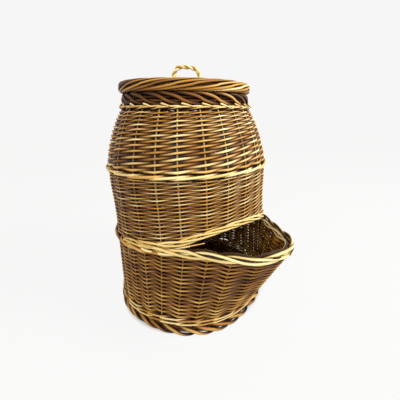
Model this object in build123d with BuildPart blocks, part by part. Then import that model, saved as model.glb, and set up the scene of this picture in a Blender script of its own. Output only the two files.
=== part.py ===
"""A lidded willow onion basket: a woven drum with a scoop mouth, a domed shoulder and a lift-off lid.

Millimetres, +Z up. The origin is the middle of the foot on the floor, and the scoop points along -Y.
"""

from build123d import *
from math import acos, asin, cos, degrees, radians, sin, sqrt, tan
import os

os.makedirs("parts", exist_ok=True)

# Stakes: the uprights that carry the weave, one set for the lower drum and scoop, one for the walls above
STAKE_D = 5.0
STAKE_CIRCLE_R = 180.0
STAKE_CLEAR = 0.15
LOWER_STAKE_COUNT = 32
LOWER_STAKE_PHASE = 1.875
UPPER_STAKE_COUNT = 24
STAKE_TAIL = 34.0
STAKE_BEND_R = 9.0
UPPER_STAKE_TUCK = 30.0

# Foot, base and the wale at the upsett
FOOT_H = 20.0
FOOT_SPREAD = 11.0
FOOT_WALL = 33.0
FOOT_ROD_D = 6.6
FOOT_ROD_SPAN = 1.0
BASE_SETBACK = 9.0
BASE_T = 12.0
BASE_STICKS_EACH_WAY = 4
BASE_STICK_D = 9.6
BASE_THROUGH_D = 6.4
BASE_STICK_PITCH = 10.4
BASE_CROSS_HALF = 30.0
BASE_STICK_INSET = 3.0
UPSETT_ROD_D = 6.2
UPSETT_LAYERS = 3

# Woven bands: how high each one ends, and the weaver that lies on each side of the stakes
LOWER_TOP = 182.5
LOWER_WEAVER_D = 3.4
WAIST_ROD_D = 6.0
WAIST_LAYERS = 2
MIDDLE_TOP = 338.0
MIDDLE_WEAVER_D = 4.6
SHOULDER_ROD_D = 6.4
SHOULDER_LAYERS = 2
DOME_LEAD = 7.0
DOME_RISE = 131.0
DOME_DROP_IN = 37.0
DOME_BUTT_D = 6.2
DOME_TIP_D = 4.2
NECK_WALE_ROD_D = 5.0
NECK_WALE_LAYERS = 2

# Scoop: in plan it is the hull of the drum's circle and a smaller circle in front. Its rim climbs to the
# tip at an angle, from the hinge, where the scoop leaves the drum.
SCOOP_REACH = 126.0
SCOOP_TIP_R = 68.0
RIM_CLIMB = 6.2
RIM_HINGE_GAP = 0.6
RIM_ROD_D = 6.0
RIM_LAYERS = 2

# Hood: the arched border over the mouth, a circle in the front view
HOOD_RISE = 27.0
HOOD_HALF_ANGLE = 43.0
HOOD_BORDER_H = 11.0
HOOD_BORDER_EXTRA = 0.9
HOOD_STAKE_SEAT = 4.0
HOOD_STAKE_COUNT = 8

# Rolled border at the neck
NECK_BORDER_H = 28.0
NECK_CORE_INSET = 1.5
NECK_CORE_T = 13.5
NECK_ROD_D = 6.5
NECK_ROD_SPAN = 2.5

# Lid
LID_GAP = 0.3
LID_EDGE_H = 21.0
LID_OVERHANG = 4.3
LID_CORE_T = 12.0
LID_ROD_COUNT = 24
LID_ROD_D = 6.0
LID_ROD_SPAN = 2.0
LID_WEAVE_T = 11.0
LID_WEAVE_LIFT = 4.0
LID_STICKS_EACH_WAY = 3
LID_STICK_D = 8.4
LID_THROUGH_D = 5.2
LID_STICK_PITCH = 9.4
LID_CROSS_HALF = 26.0
LID_STICK_SOCKET = 6.0

# Handle: a loop of twisted rod that stands up through the lid
HANDLE_TURN = -36.5
HANDLE_D = 10.8
HANDLE_LEFT_FOOT = -38.0
HANDLE_LEFT_TOP = -20.0
HANDLE_RIGHT_TOP = 27.0
HANDLE_RIGHT_FOOT = 35.0
HANDLE_RISE = 48.5
HANDLE_FALL_RIGHT = 4.0
HANDLE_BEND_R = 11.0
TAIL_D = 5.2
TAIL_LENGTH = 30.0
TAIL_SPREAD = 35.0

# Pieces of one woven wall touch within this gap, and courses lie this far apart
TOUCH = 0.05
COURSE_GAP = 0.3

# Sizes that follow from the ones above
FULL_TURN = 360.0
HALF_TURN = FULL_TURN / 2
QUARTER_TURN = FULL_TURN / 4
LOWER_STEP = FULL_TURN / LOWER_STAKE_COUNT
UPPER_STEP = FULL_TURN / UPPER_STAKE_COUNT
FOOT_OUTER_R = STAKE_CIRCLE_R + FOOT_SPREAD
FOOT_INNER_R = FOOT_OUTER_R - FOOT_WALL
BASE_R = STAKE_CIRCLE_R - BASE_SETBACK
BASE_STICK_REACH = BASE_R - BASE_STICK_INSET
BASE_MID_Z = FOOT_H + BASE_T / 2
BASE_TOP = FOOT_H + BASE_T
UPSETT_TOP = FOOT_H + UPSETT_LAYERS * (UPSETT_ROD_D + TOUCH)
LOWER_BOTTOM = UPSETT_TOP + COURSE_GAP
WAIST_H = WAIST_LAYERS * (WAIST_ROD_D + TOUCH)
RIM_H = COURSE_GAP + RIM_LAYERS * (RIM_ROD_D + TOUCH)
SHOULDER_TOP = MIDDLE_TOP + SHOULDER_LAYERS * (SHOULDER_ROD_D + TOUCH)
DOME_SPRING = MIDDLE_TOP + DOME_LEAD
NECK_BOTTOM = DOME_SPRING + DOME_RISE
NECK_TOP = NECK_BOTTOM + NECK_BORDER_H
NECK_STAKE_R = STAKE_CIRCLE_R - DOME_DROP_IN
NECK_CORE_R = NECK_STAKE_R - NECK_CORE_INSET
NECK_INNER_R = NECK_CORE_R - NECK_CORE_T
DOME_ARC_R = (DOME_RISE**2 + DOME_DROP_IN**2) / (2 * DOME_DROP_IN)
DOME_ARC_CENTRE_R = STAKE_CIRCLE_R - DOME_ARC_R
LOWER_HALF_T = STAKE_D / 2 + LOWER_WEAVER_D
MIDDLE_HALF_T = STAKE_D / 2 + MIDDLE_WEAVER_D
SCOOP_CENTRE = STAKE_CIRCLE_R + SCOOP_REACH - SCOOP_TIP_R
HULL_ANGLE = degrees(acos((STAKE_CIRCLE_R - SCOOP_TIP_R) / SCOOP_CENTRE))
SCOOP_SIDE = sqrt(SCOOP_CENTRE**2 - (STAKE_CIRCLE_R - SCOOP_TIP_R) ** 2)
SCOOP_TIP_ARC = SCOOP_TIP_R * radians(HULL_ANGLE)
TIP_BASE_ANGLE = HULL_ANGLE * SCOOP_TIP_ARC / (SCOOP_TIP_ARC + SCOOP_SIDE)
HINGE_Y = -STAKE_CIRCLE_R * cos(radians(HULL_ANGLE))
WAIST_TOP = LOWER_TOP + max(WAIST_H, RIM_H)
MOUTH_HALF_W = STAKE_CIRCLE_R * sin(radians(HOOD_HALF_ANGLE))
MOUTH_REACH = STAKE_CIRCLE_R * cos(radians(HOOD_HALF_ANGLE))
MOUTH_CORNER_Z = WAIST_TOP + (MOUTH_REACH + HINGE_Y) * tan(radians(RIM_CLIMB))
HOOD_ARCH_R = (MOUTH_HALF_W**2 + HOOD_RISE**2) / (2 * HOOD_RISE)
HOOD_CENTRE_Z = MOUTH_CORNER_Z + HOOD_RISE - HOOD_ARCH_R
LID_EDGE_R = NECK_CORE_R + LID_OVERHANG
LID_BOTTOM = NECK_TOP + LID_GAP
LID_WEAVE_BOTTOM = LID_BOTTOM + LID_WEAVE_LIFT
LID_WEAVE_TOP = LID_WEAVE_BOTTOM + LID_WEAVE_T
LID_CORE_R = LID_EDGE_R - LID_CORE_T

LOWER_ANGLES = [
    (k - LOWER_STAKE_COUNT // 2) * LOWER_STEP + LOWER_STAKE_PHASE for k in range(LOWER_STAKE_COUNT)
]
SCOOP_ANGLES = [angle for angle in LOWER_ANGLES if abs(angle) < HULL_ANGLE]
BACK_STAKES = LOWER_STAKE_COUNT - len(SCOOP_ANGLES)
BACK_START = SCOOP_ANGLES[-1] + LOWER_STEP
HOOD_START = -(HOOD_STAKE_COUNT - 1) / 2 * UPPER_STEP
UPPER_BACK_STAKES = UPPER_STAKE_COUNT - HOOD_STAKE_COUNT
UPPER_BACK_START = -HOOD_START + UPPER_STEP


def at(angle, radius, z=0.0):
    """The point at an angle from the front, counter-clockwise from above, and a radius from the axis."""
    return (radius * sin(radians(angle)), -radius * cos(radians(angle)), z)


def export(made, name):
    """Names a finished piece and writes its file."""
    made.part.label = name
    export_step(made.part, f"parts/{name}.step")


def dome_point(turn, offset=0.0):
    """Radius and height of a point that stands off the dome's stakes, at a turn along their arc."""
    reach = DOME_ARC_R + offset
    return (DOME_ARC_CENTRE_R + reach * cos(radians(turn)), DOME_SPRING + reach * sin(radians(turn)))


def dome_turn(z, offset=0.0):
    """The turn along the dome's arc at which a point that stands off the stakes reaches a height."""
    return degrees(asin((z - DOME_SPRING) / (DOME_ARC_R + offset)))


def scoop_top(angle, offset=0.0):
    """Where the ruling that starts at an angle on the drum's circle ends on the scoop's outline, in plan."""
    turn = abs(angle)
    side = 1 if angle >= 0 else -1
    if turn >= HULL_ANGLE:
        return at(angle, STAKE_CIRCLE_R + offset)[:2]
    if turn < TIP_BASE_ANGLE:
        around = HULL_ANGLE * turn / TIP_BASE_ANGLE
        x, y = at(around, SCOOP_TIP_R + offset)[:2]
        return (side * x, y - SCOOP_CENTRE)
    share = (turn - TIP_BASE_ANGLE) / (HULL_ANGLE - TIP_BASE_ANGLE)
    tip_x, tip_y = at(HULL_ANGLE, SCOOP_TIP_R + offset)[:2]
    body_x, body_y = at(HULL_ANGLE, STAKE_CIRCLE_R + offset)[:2]
    tip_y -= SCOOP_CENTRE
    return (side * (tip_x + share * (body_x - tip_x)), tip_y + share * (body_y - tip_y))


def rim_plane(lift=0.0):
    """The plane that carries the scoop's rim: it hinges on the lower weave's top and climbs to the tip."""
    return Plane((0, HINGE_Y, LOWER_TOP)).rotated((-RIM_CLIMB, 0, 0)).offset(lift)


def rim_place(angle, offset=0.0):
    """The scoop's outline in the coordinates of the rim's plane."""
    x, y = scoop_top(angle, offset)
    return (x, (y - HINGE_Y) / cos(radians(RIM_CLIMB)))


def rod(path, diameter):
    """A round rod along a path."""
    with BuildPart() as made:
        with BuildSketch(Plane(origin=path @ 0, z_dir=path % 0)):
            Circle(diameter / 2)
        sweep(path=path)
    return made.part


def ring(inner_r, outer_r, bottom, top):
    """A plain ring about the drum's axis."""
    with BuildPart() as made:
        with BuildSketch(Plane.XY.offset(bottom)):
            Circle(outer_r)
            Circle(inner_r, mode=Mode.SUBTRACT)
        extrude(amount=top - bottom)
    return made.part


def bent_rods(centres, diameter, start=0.0, turn=FULL_TURN):
    """Rods bent round the drum's axis, one for each (radius, height), from a start through a turn."""
    with BuildPart() as made:
        with BuildSketch(Plane.XZ.rotated((0, 0, start - QUARTER_TURN))):
            with Locations(*centres):
                Circle(diameter / 2)
        revolve(axis=Axis.Z, revolution_arc=turn)
    return made


def stack(bottom, layers, diameter, radius):
    """The centres of rods stacked from a height on one radius."""
    return [(radius, bottom + diameter / 2 + k * (diameter + TOUCH)) for k in range(layers)]


def beside(diameter, side):
    """How far from the stakes' line a rod lies that touches them from outside, side 1, or inside, side -1."""
    return side * (STAKE_D / 2 + diameter / 2 + TOUCH)


def border_rods(count, radius, bottom, height, diameter, span, falls):
    """The slanted rods of a rolled border: each climbs or falls while it passes span others."""
    rise = height - diameter
    with BuildLine() as path:
        Helix(rise * count / span, rise, radius, center=(0, 0, bottom + diameter / 2), lefthand=falls)
    one = rod(path.line, diameter)
    with BuildPart() as made:
        with PolarLocations(0, count):
            add(one)
    return made


def cross_rods(count, pitch, half, reach, z, turn, diameter):
    """Parallel sticks through the middle that open out, each to its own place on the rim."""
    rods = []
    for k in range(count):
        place = k - (count - 1) / 2
        end_turn = radians(place * QUARTER_TURN / count)
        end = (reach * cos(end_turn), reach * sin(end_turn))
        with BuildLine(Plane.XY.offset(z).rotated((0, 0, turn))) as path:
            if place == 0:
                Line((-reach, 0), (reach, 0))
            else:
                y = place * pitch
                FilletPolyline((-end[0], end[1]), (-half, y), (half, y), end, radius=half)
        rods.append(rod(path.line, diameter))
    return rods


def lower_stake(diameter):
    """An upright of the lower drum, at the front: out through the base, then up to the top of the waist."""
    with BuildLine() as path:
        FilletPolyline(
            at(0, BASE_R - STAKE_TAIL, BASE_MID_Z),
            at(0, STAKE_CIRCLE_R, BASE_MID_Z),
            at(0, STAKE_CIRCLE_R, WAIST_TOP),
            radius=STAKE_BEND_R,
        )
    return rod(path.line, diameter)


def cut_level(made, bottom, top):
    """What lies of some pieces between two heights."""
    with BuildPart() as kept:
        add(made)
        split(bisect_by=Plane.XY.offset(top), keep=Keep.BOTTOM)
        split(bisect_by=Plane.XY.offset(bottom), keep=Keep.TOP)
    return kept.part


def scoop_stake(angle, diameter):
    """An upright of the scoop: out through the base, up past the upsett, then straight out to the rim."""
    x, y = scoop_top(angle)
    with BuildLine() as path:
        FilletPolyline(
            at(angle, BASE_R - STAKE_TAIL, BASE_MID_Z),
            at(angle, STAKE_CIRCLE_R, BASE_MID_Z),
            at(angle, STAKE_CIRCLE_R, UPSETT_TOP),
            (x, y, LOWER_TOP + (HINGE_Y - y) * tan(radians(RIM_CLIMB))),
            radius=STAKE_BEND_R,
        )
    return rod(path.line, diameter)


def upper_stake(diameter):
    """An upright of the walls above, at the front: from inside the lower weave over the dome to the neck."""
    middle_r, middle_z = dome_point(dome_turn(NECK_BOTTOM) / 2)
    with BuildLine() as path:
        Line(at(0, STAKE_CIRCLE_R, LOWER_TOP - UPPER_STAKE_TUCK), at(0, STAKE_CIRCLE_R, DOME_SPRING))
        ThreePointArc(
            at(0, STAKE_CIRCLE_R, DOME_SPRING), at(0, middle_r, middle_z), at(0, NECK_STAKE_R, NECK_BOTTOM)
        )
    return rod(path.line, diameter)


def lower_form(offset):
    """The solid within the surface that stands off the lower stakes by an offset, scoop and all."""
    tip = (-TIP_BASE_ANGLE, 0, TIP_BASE_ANGLE)
    side = (TIP_BASE_ANGLE, (TIP_BASE_ANGLE + HULL_ANGLE) / 2, HULL_ANGLE)
    other_side = tuple(-angle for angle in reversed(side))
    radius = STAKE_CIRCLE_R + offset
    low = Plane.XY.offset(LOWER_BOTTOM)
    with BuildSketch(low) as tip_below:
        with BuildLine():
            ThreePointArc(*(at(angle, radius)[:2] for angle in tip))
            Line(at(tip[2], radius)[:2], at(tip[0], radius)[:2])
        make_face()
    with BuildSketch(rim_plane()) as tip_above:
        with BuildLine():
            ThreePointArc(*(rim_place(angle, offset) for angle in tip))
            Line(rim_place(tip[2], offset), rim_place(tip[0], offset))
        make_face()
    with BuildSketch(low) as sides_below:
        with BuildLine():
            ThreePointArc(*(at(angle, radius)[:2] for angle in side))
            Line(at(side[2], radius)[:2], at(other_side[0], radius)[:2])
            ThreePointArc(*(at(angle, radius)[:2] for angle in other_side))
            Line(at(other_side[2], radius)[:2], at(side[0], radius)[:2])
        make_face()
    with BuildSketch(rim_plane()) as sides_above:
        with BuildLine():
            corners = (side[0], side[2], other_side[0], other_side[2])
            Polyline(*(rim_place(angle, offset) for angle in corners), close=True)
        make_face()
    with BuildPart() as form:
        loft([tip_below.sketch, tip_above.sketch], ruled=True)
        loft([sides_below.sketch, sides_above.sketch], ruled=True)
        with BuildSketch(low):
            Circle(radius)
        extrude(amount=LOWER_TOP - LOWER_BOTTOM)
    return form.part


def behind_hinge(side):
    """A block behind one side's hinge, and a thin gap in front of it, by which the rim's rods are cut."""
    block = 4 * RIM_ROD_D
    with BuildPart() as made:
        with BuildSketch(Plane.XY.offset(LOWER_TOP).rotated((0, 0, side * HULL_ANGLE - QUARTER_TURN))):
            with Locations((STAKE_CIRCLE_R, side * (block / 2 - RIM_HINGE_GAP))):
                Rectangle(block, block)
        extrude(amount=block, both=True)
    return made.part


def scoop_rim(side):
    """The rim's rods along one side of the scoop's outline: outside for side 1, inside for side -1."""
    offset = side * (RIM_ROD_D / 2 + TOUCH)
    rods = []
    for k in range(RIM_LAYERS):
        lift = COURSE_GAP + RIM_ROD_D / 2 + k * (RIM_ROD_D + TOUCH)
        with BuildLine(rim_plane(lift)) as path:
            Line(rim_place(-HULL_ANGLE, offset), rim_place(-TIP_BASE_ANGLE, offset))
            ThreePointArc(*(rim_place(angle, offset) for angle in (-TIP_BASE_ANGLE, 0, TIP_BASE_ANGLE)))
            Line(rim_place(TIP_BASE_ANGLE, offset), rim_place(HULL_ANGLE, offset))
        rods.append(rod(path.line, RIM_ROD_D))
    with BuildPart() as made:
        add(rods)
        add([behind_hinge(1), behind_hinge(-1)], mode=Mode.SUBTRACT)
    return made


def above_waist(lift):
    """Everything over the waist and the scoop's rim, from a lift above the line that tops them both."""
    climb = tan(radians(RIM_CLIMB))
    reach = 2 * STAKE_CIRCLE_R
    bottom = WAIST_TOP + lift
    with BuildPart() as form:
        with BuildSketch(Plane.YZ):
            with BuildLine():
                Polyline(
                    (-reach, bottom + (reach + HINGE_Y) * climb),
                    (HINGE_Y, bottom),
                    (reach, bottom),
                    (reach, NECK_TOP),
                    (-reach, NECK_TOP),
                    close=True,
                )
            make_face()
        extrude(amount=reach, both=True)
    return form.part


def arch(radius):
    """Everything in front of the drum's axis and under an arch that has the hood's centre."""
    with BuildPart() as form:
        with BuildSketch(Plane.XZ):
            with Locations((0, HOOD_CENTRE_Z)):
                Circle(radius)
        extrude(amount=2 * STAKE_CIRCLE_R)
    return form.part


# Foot
FOOT_ROD_R = FOOT_OUTER_R - FOOT_ROD_D / 2
with BuildPart() as foot_core:
    add(ring(FOOT_INNER_R, FOOT_ROD_R - FOOT_ROD_D / 2 - TOUCH, 0, FOOT_H - TOUCH))
foot_border = border_rods(LOWER_STAKE_COUNT, FOOT_ROD_R, 0, FOOT_H - TOUCH, FOOT_ROD_D, FOOT_ROD_SPAN, True)

# Base: two crossed sets of sticks, opened out like spokes, with the weave round them
base_set = (BASE_STICKS_EACH_WAY, BASE_STICK_PITCH, BASE_CROSS_HALF, BASE_STICK_REACH, BASE_MID_Z)
base_turn = LOWER_STAKE_PHASE - LOWER_STEP / 2
with BuildPart() as base_through_sticks:
    add(cross_rods(*base_set, base_turn + QUARTER_TURN, BASE_THROUGH_D))
base_slits = cross_rods(*base_set, base_turn + QUARTER_TURN, BASE_THROUGH_D + 2 * STAKE_CLEAR)
with BuildPart() as base_sticks:
    add(cross_rods(*base_set, base_turn, BASE_STICK_D))
    add(base_slits, mode=Mode.SUBTRACT)

lower_channel = lower_stake(STAKE_D + 2 * STAKE_CLEAR)
scoop_channels = [scoop_stake(angle, STAKE_D + 2 * STAKE_CLEAR) for angle in SCOOP_ANGLES]
base_hub_r = sqrt(2) * ((BASE_STICKS_EACH_WAY - 1) / 2 * BASE_STICK_PITCH + BASE_STICK_D / 2)
with BuildPart() as base_weave:
    add(ring(base_hub_r, BASE_R, FOOT_H, BASE_TOP))
    add(base_slits, mode=Mode.SUBTRACT)
    add(cross_rods(*base_set, base_turn, BASE_STICK_D + 2 * STAKE_CLEAR), mode=Mode.SUBTRACT)
    with PolarLocations(0, LOWER_STAKE_COUNT, LOWER_STAKE_PHASE):
        add(lower_channel, mode=Mode.SUBTRACT)

# Stakes of the lower drum and of the scoop
one_lower_stake = lower_stake(STAKE_D)
with BuildPart() as lower_stakes:
    with PolarLocations(0, BACK_STAKES, BACK_START, (BACK_STAKES - 1) * LOWER_STEP, endpoint=True):
        add(one_lower_stake)
with BuildPart() as scoop_stakes:
    add([scoop_stake(angle, STAKE_D) for angle in SCOOP_ANGLES])
    split(bisect_by=rim_plane(), keep=Keep.BOTTOM)

# Upsett wale
upsett_outer_r = STAKE_CIRCLE_R + beside(UPSETT_ROD_D, 1)
upsett_inner_r = STAKE_CIRCLE_R + beside(UPSETT_ROD_D, -1)
upsett_wale = bent_rods(stack(FOOT_H, UPSETT_LAYERS, UPSETT_ROD_D, upsett_outer_r), UPSETT_ROD_D)
upsett_wale_inner = bent_rods(stack(BASE_TOP + TOUCH, 1, UPSETT_ROD_D, upsett_inner_r), UPSETT_ROD_D)

# Lower weave, with the scoop in one piece
upper_channel = upper_stake(STAKE_D + 2 * STAKE_CLEAR)
with BuildPart() as lower_weave:
    add(lower_form(LOWER_HALF_T))
    add(lower_form(-LOWER_HALF_T), mode=Mode.SUBTRACT)
    with PolarLocations(0, BACK_STAKES, BACK_START, (BACK_STAKES - 1) * LOWER_STEP, endpoint=True):
        add(lower_channel, mode=Mode.SUBTRACT)
    add(scoop_channels, mode=Mode.SUBTRACT)
    with PolarLocations(
        0, UPPER_BACK_STAKES, UPPER_BACK_START, (UPPER_BACK_STAKES - 1) * UPPER_STEP, endpoint=True
    ):
        add(upper_channel, mode=Mode.SUBTRACT)

# Waist wale round the back, and the scoop's rim
waist_turn = FULL_TURN - 2 * HULL_ANGLE
waist_bottom = LOWER_TOP + TOUCH
waist_outer_r = STAKE_CIRCLE_R + beside(WAIST_ROD_D, 1)
waist_inner_r = STAKE_CIRCLE_R + beside(WAIST_ROD_D, -1)
waist_outer = stack(waist_bottom, WAIST_LAYERS, WAIST_ROD_D, waist_outer_r)
waist_inner = stack(waist_bottom, WAIST_LAYERS, WAIST_ROD_D, waist_inner_r)
waist_wale = bent_rods(waist_outer, WAIST_ROD_D, HULL_ANGLE, waist_turn)
waist_wale_inner = bent_rods(waist_inner, WAIST_ROD_D, HULL_ANGLE, waist_turn)
scoop_rim_outer = scoop_rim(1)
scoop_rim_inner = scoop_rim(-1)

# Hood border, its stakes and the stakes of the back
one_upper_stake = cut_level(upper_stake(STAKE_D), 0, NECK_BOTTOM)
with BuildPart() as hood_stakes:
    with PolarLocations(0, HOOD_STAKE_COUNT, HOOD_START, (HOOD_STAKE_COUNT - 1) * UPPER_STEP, endpoint=True):
        add(one_upper_stake)
    add(above_waist(COURSE_GAP), mode=Mode.INTERSECT)
    add(arch(HOOD_ARCH_R + HOOD_STAKE_SEAT), mode=Mode.SUBTRACT)
with BuildPart() as upper_stakes:
    with PolarLocations(
        0, UPPER_BACK_STAKES, UPPER_BACK_START, (UPPER_BACK_STAKES - 1) * UPPER_STEP, endpoint=True
    ):
        add(one_upper_stake)

hood_half_t = MIDDLE_HALF_T + HOOD_BORDER_EXTRA
with BuildPart() as hood_border:
    add(ring(STAKE_CIRCLE_R - hood_half_t, STAKE_CIRCLE_R + hood_half_t, LOWER_TOP, MIDDLE_TOP))
    add(above_waist(COURSE_GAP), mode=Mode.INTERSECT)
    add(arch(HOOD_ARCH_R + HOOD_BORDER_H), mode=Mode.INTERSECT)
    add(arch(HOOD_ARCH_R), mode=Mode.SUBTRACT)
    with PolarLocations(0, UPPER_STAKE_COUNT, UPPER_STEP / 2):
        add(upper_channel, mode=Mode.SUBTRACT)

# Middle weave
with BuildPart() as middle_weave:
    add(
        ring(
            STAKE_CIRCLE_R - MIDDLE_HALF_T,
            STAKE_CIRCLE_R + MIDDLE_HALF_T,
            LOWER_TOP,
            MIDDLE_TOP - COURSE_GAP,
        )
    )
    add(above_waist(COURSE_GAP), mode=Mode.INTERSECT)
    add(arch(HOOD_ARCH_R + HOOD_BORDER_H + COURSE_GAP), mode=Mode.SUBTRACT)
    with PolarLocations(0, UPPER_STAKE_COUNT, UPPER_STEP / 2):
        add(upper_channel, mode=Mode.SUBTRACT)

# Shoulder wale
shoulder_outer_r = STAKE_CIRCLE_R + beside(SHOULDER_ROD_D, 1)
shoulder_inner_r = STAKE_CIRCLE_R + beside(SHOULDER_ROD_D, -1)
shoulder_wale = bent_rods(
    stack(MIDDLE_TOP, SHOULDER_LAYERS, SHOULDER_ROD_D, shoulder_outer_r), SHOULDER_ROD_D
)
shoulder_wale_inner = bent_rods(
    stack(MIDDLE_TOP, SHOULDER_LAYERS, SHOULDER_ROD_D, shoulder_inner_r), SHOULDER_ROD_D
)

# Neck wale: rods laid up along the leaning stakes, until the outer one meets the border
neck_outer = beside(NECK_WALE_ROD_D, 1)
neck_inner = beside(NECK_WALE_ROD_D, -1)
neck_wale_turn = dome_turn(NECK_BOTTOM - NECK_WALE_ROD_D / 2 - COURSE_GAP, neck_outer)
neck_wale_step = degrees((NECK_WALE_ROD_D + TOUCH) / (DOME_ARC_R + neck_inner))
neck_turns = [neck_wale_turn - k * neck_wale_step for k in range(NECK_WALE_LAYERS)]
neck_wale = bent_rods([dome_point(turn, neck_outer) for turn in neck_turns], NECK_WALE_ROD_D)
neck_wale_inner = bent_rods([dome_point(turn, neck_inner) for turn in neck_turns], NECK_WALE_ROD_D)

# Dome weave: thicker at the shoulder, where the butts of the rods lie, than at the neck
dome_start = dome_turn(SHOULDER_TOP + COURSE_GAP)
dome_end = neck_turns[-1] - neck_wale_step / 2
dome_turns = (dome_start, (dome_start + dome_end) / 2, dome_end)
dome_half_t = [
    STAKE_D / 2 + DOME_BUTT_D + share * (DOME_TIP_D - DOME_BUTT_D) for share in (0, 0.5, 1)
]
with BuildPart() as dome_weave:
    with BuildSketch(Plane.XZ.rotated((0, 0, -QUARTER_TURN))):
        with BuildLine():
            outer_arc = ThreePointArc(*(dome_point(t, h) for t, h in zip(dome_turns, dome_half_t)))
            inner_arc = ThreePointArc(*(dome_point(t, -h) for t, h in zip(dome_turns, dome_half_t)))
            Line(outer_arc @ 0, inner_arc @ 0)
            Line(outer_arc @ 1, inner_arc @ 1)
        make_face()
    revolve(axis=Axis.Z)
    with PolarLocations(0, UPPER_STAKE_COUNT, UPPER_STEP / 2):
        add(upper_channel, mode=Mode.SUBTRACT)

# Neck border
with BuildPart() as neck_core:
    add(ring(NECK_INNER_R, NECK_CORE_R, NECK_BOTTOM + TOUCH, NECK_TOP))
neck_border = border_rods(
    UPPER_STAKE_COUNT,
    NECK_CORE_R + TOUCH + NECK_ROD_D / 2,
    NECK_BOTTOM + TOUCH,
    NECK_BORDER_H - TOUCH,
    NECK_ROD_D,
    NECK_ROD_SPAN,
    True,
)

# Handle loop and its tails under the lid
handle_plane = Plane.XZ.rotated((0, 0, HANDLE_TURN))
handle_top = LID_WEAVE_TOP + HANDLE_RISE
with BuildLine(handle_plane) as handle_path:
    FilletPolyline(
        (HANDLE_LEFT_FOOT, LID_WEAVE_BOTTOM),
        (HANDLE_LEFT_FOOT, LID_WEAVE_TOP),
        (HANDLE_LEFT_TOP, handle_top),
        (HANDLE_RIGHT_TOP, handle_top - HANDLE_FALL_RIGHT),
        (HANDLE_RIGHT_FOOT, LID_WEAVE_TOP),
        (HANDLE_RIGHT_FOOT, LID_WEAVE_BOTTOM),
        radius=HANDLE_BEND_R,
    )
with BuildPart() as handle_loop:
    add(rod(handle_path.line, HANDLE_D))
handle_holes = rod(handle_path.line, HANDLE_D + 2 * STAKE_CLEAR)

tail_rods = []
for foot, outwards in ((HANDLE_LEFT_FOOT, HALF_TURN), (HANDLE_RIGHT_FOOT, 0)):
    for spread in (-TAIL_SPREAD, TAIL_SPREAD):
        tail_plane = Plane.XY.offset(LID_WEAVE_BOTTOM - TAIL_D / 2 - TOUCH).rotated((0, 0, HANDLE_TURN))
        turn = radians(outwards + spread)
        near = TAIL_D
        with BuildLine(tail_plane) as tail_path:
            Line(
                (foot + near * cos(turn), near * sin(turn)),
                (foot + (near + TAIL_LENGTH) * cos(turn), (near + TAIL_LENGTH) * sin(turn)),
            )
        tail_rods.append(rod(tail_path.line, TAIL_D))
with BuildPart() as handle_tails:
    add(tail_rods)

# Lid: crossed sticks, the weave round them, and a rolled border
lid_reach = LID_CORE_R + LID_STICK_SOCKET
lid_mid_z = LID_WEAVE_BOTTOM + LID_WEAVE_T / 2
lid_turn = HANDLE_TURN + QUARTER_TURN / 2
lid_set = (LID_STICKS_EACH_WAY, LID_STICK_PITCH, LID_CROSS_HALF, lid_reach, lid_mid_z)
with BuildPart() as lid_through_sticks:
    add(cross_rods(*lid_set, lid_turn + QUARTER_TURN, LID_THROUGH_D))
lid_slits = cross_rods(*lid_set, lid_turn + QUARTER_TURN, LID_THROUGH_D + 2 * STAKE_CLEAR)
lid_channels = cross_rods(*lid_set, lid_turn, LID_STICK_D + 2 * STAKE_CLEAR)
with BuildPart() as lid_sticks:
    add(cross_rods(*lid_set, lid_turn, LID_STICK_D))
    add(lid_slits, mode=Mode.SUBTRACT)
lid_hub_r = sqrt(2) * ((LID_STICKS_EACH_WAY - 1) / 2 * LID_STICK_PITCH + LID_STICK_D / 2)
with BuildPart() as lid_weave:
    add(ring(lid_hub_r, LID_CORE_R - TOUCH, LID_WEAVE_BOTTOM, LID_WEAVE_TOP))
    add(lid_slits, mode=Mode.SUBTRACT)
    add(lid_channels, mode=Mode.SUBTRACT)
    add(handle_holes, mode=Mode.SUBTRACT)
with BuildPart() as lid_core:
    add(ring(LID_CORE_R, LID_EDGE_R, LID_BOTTOM, LID_BOTTOM + LID_EDGE_H))
    add(lid_slits, mode=Mode.SUBTRACT)
    add(lid_channels, mode=Mode.SUBTRACT)
lid_border = border_rods(
    LID_ROD_COUNT, LID_EDGE_R + TOUCH + LID_ROD_D / 2, LID_BOTTOM, LID_EDGE_H, LID_ROD_D, LID_ROD_SPAN, False
)

for name, made in {
    "foot_core": foot_core,
    "foot_border": foot_border,
    "base_sticks": base_sticks,
    "base_through_sticks": base_through_sticks,
    "base_weave": base_weave,
    "lower_stakes": lower_stakes,
    "scoop_stakes": scoop_stakes,
    "upsett_wale": upsett_wale,
    "upsett_wale_inner": upsett_wale_inner,
    "lower_weave": lower_weave,
    "waist_wale": waist_wale,
    "waist_wale_inner": waist_wale_inner,
    "scoop_rim_outer": scoop_rim_outer,
    "scoop_rim_inner": scoop_rim_inner,
    "hood_stakes": hood_stakes,
    "upper_stakes": upper_stakes,
    "hood_border": hood_border,
    "middle_weave": middle_weave,
    "shoulder_wale": shoulder_wale,
    "shoulder_wale_inner": shoulder_wale_inner,
    "neck_wale": neck_wale,
    "neck_wale_inner": neck_wale_inner,
    "dome_weave": dome_weave,
    "neck_core": neck_core,
    "neck_border": neck_border,
    "handle_loop": handle_loop,
    "handle_tails": handle_tails,
    "lid_sticks": lid_sticks,
    "lid_through_sticks": lid_through_sticks,
    "lid_weave": lid_weave,
    "lid_core": lid_core,
    "lid_border": lid_border,
}.items():
    export(made, name)
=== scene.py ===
"""The looks of a lidded willow onion basket: every woven rod, stake and border, in satin peeled willow.

Lengths are in millimetres until a mesh is made in metres. Angles are in degrees from the front, where the
scoop points along -Y, counter-clockwise from above.
"""

from math import acos, asin, cos, degrees, inf, pi, radians, sin, sqrt, tan

import bpy
import numpy as np
from mathutils import Matrix, Vector


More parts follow.
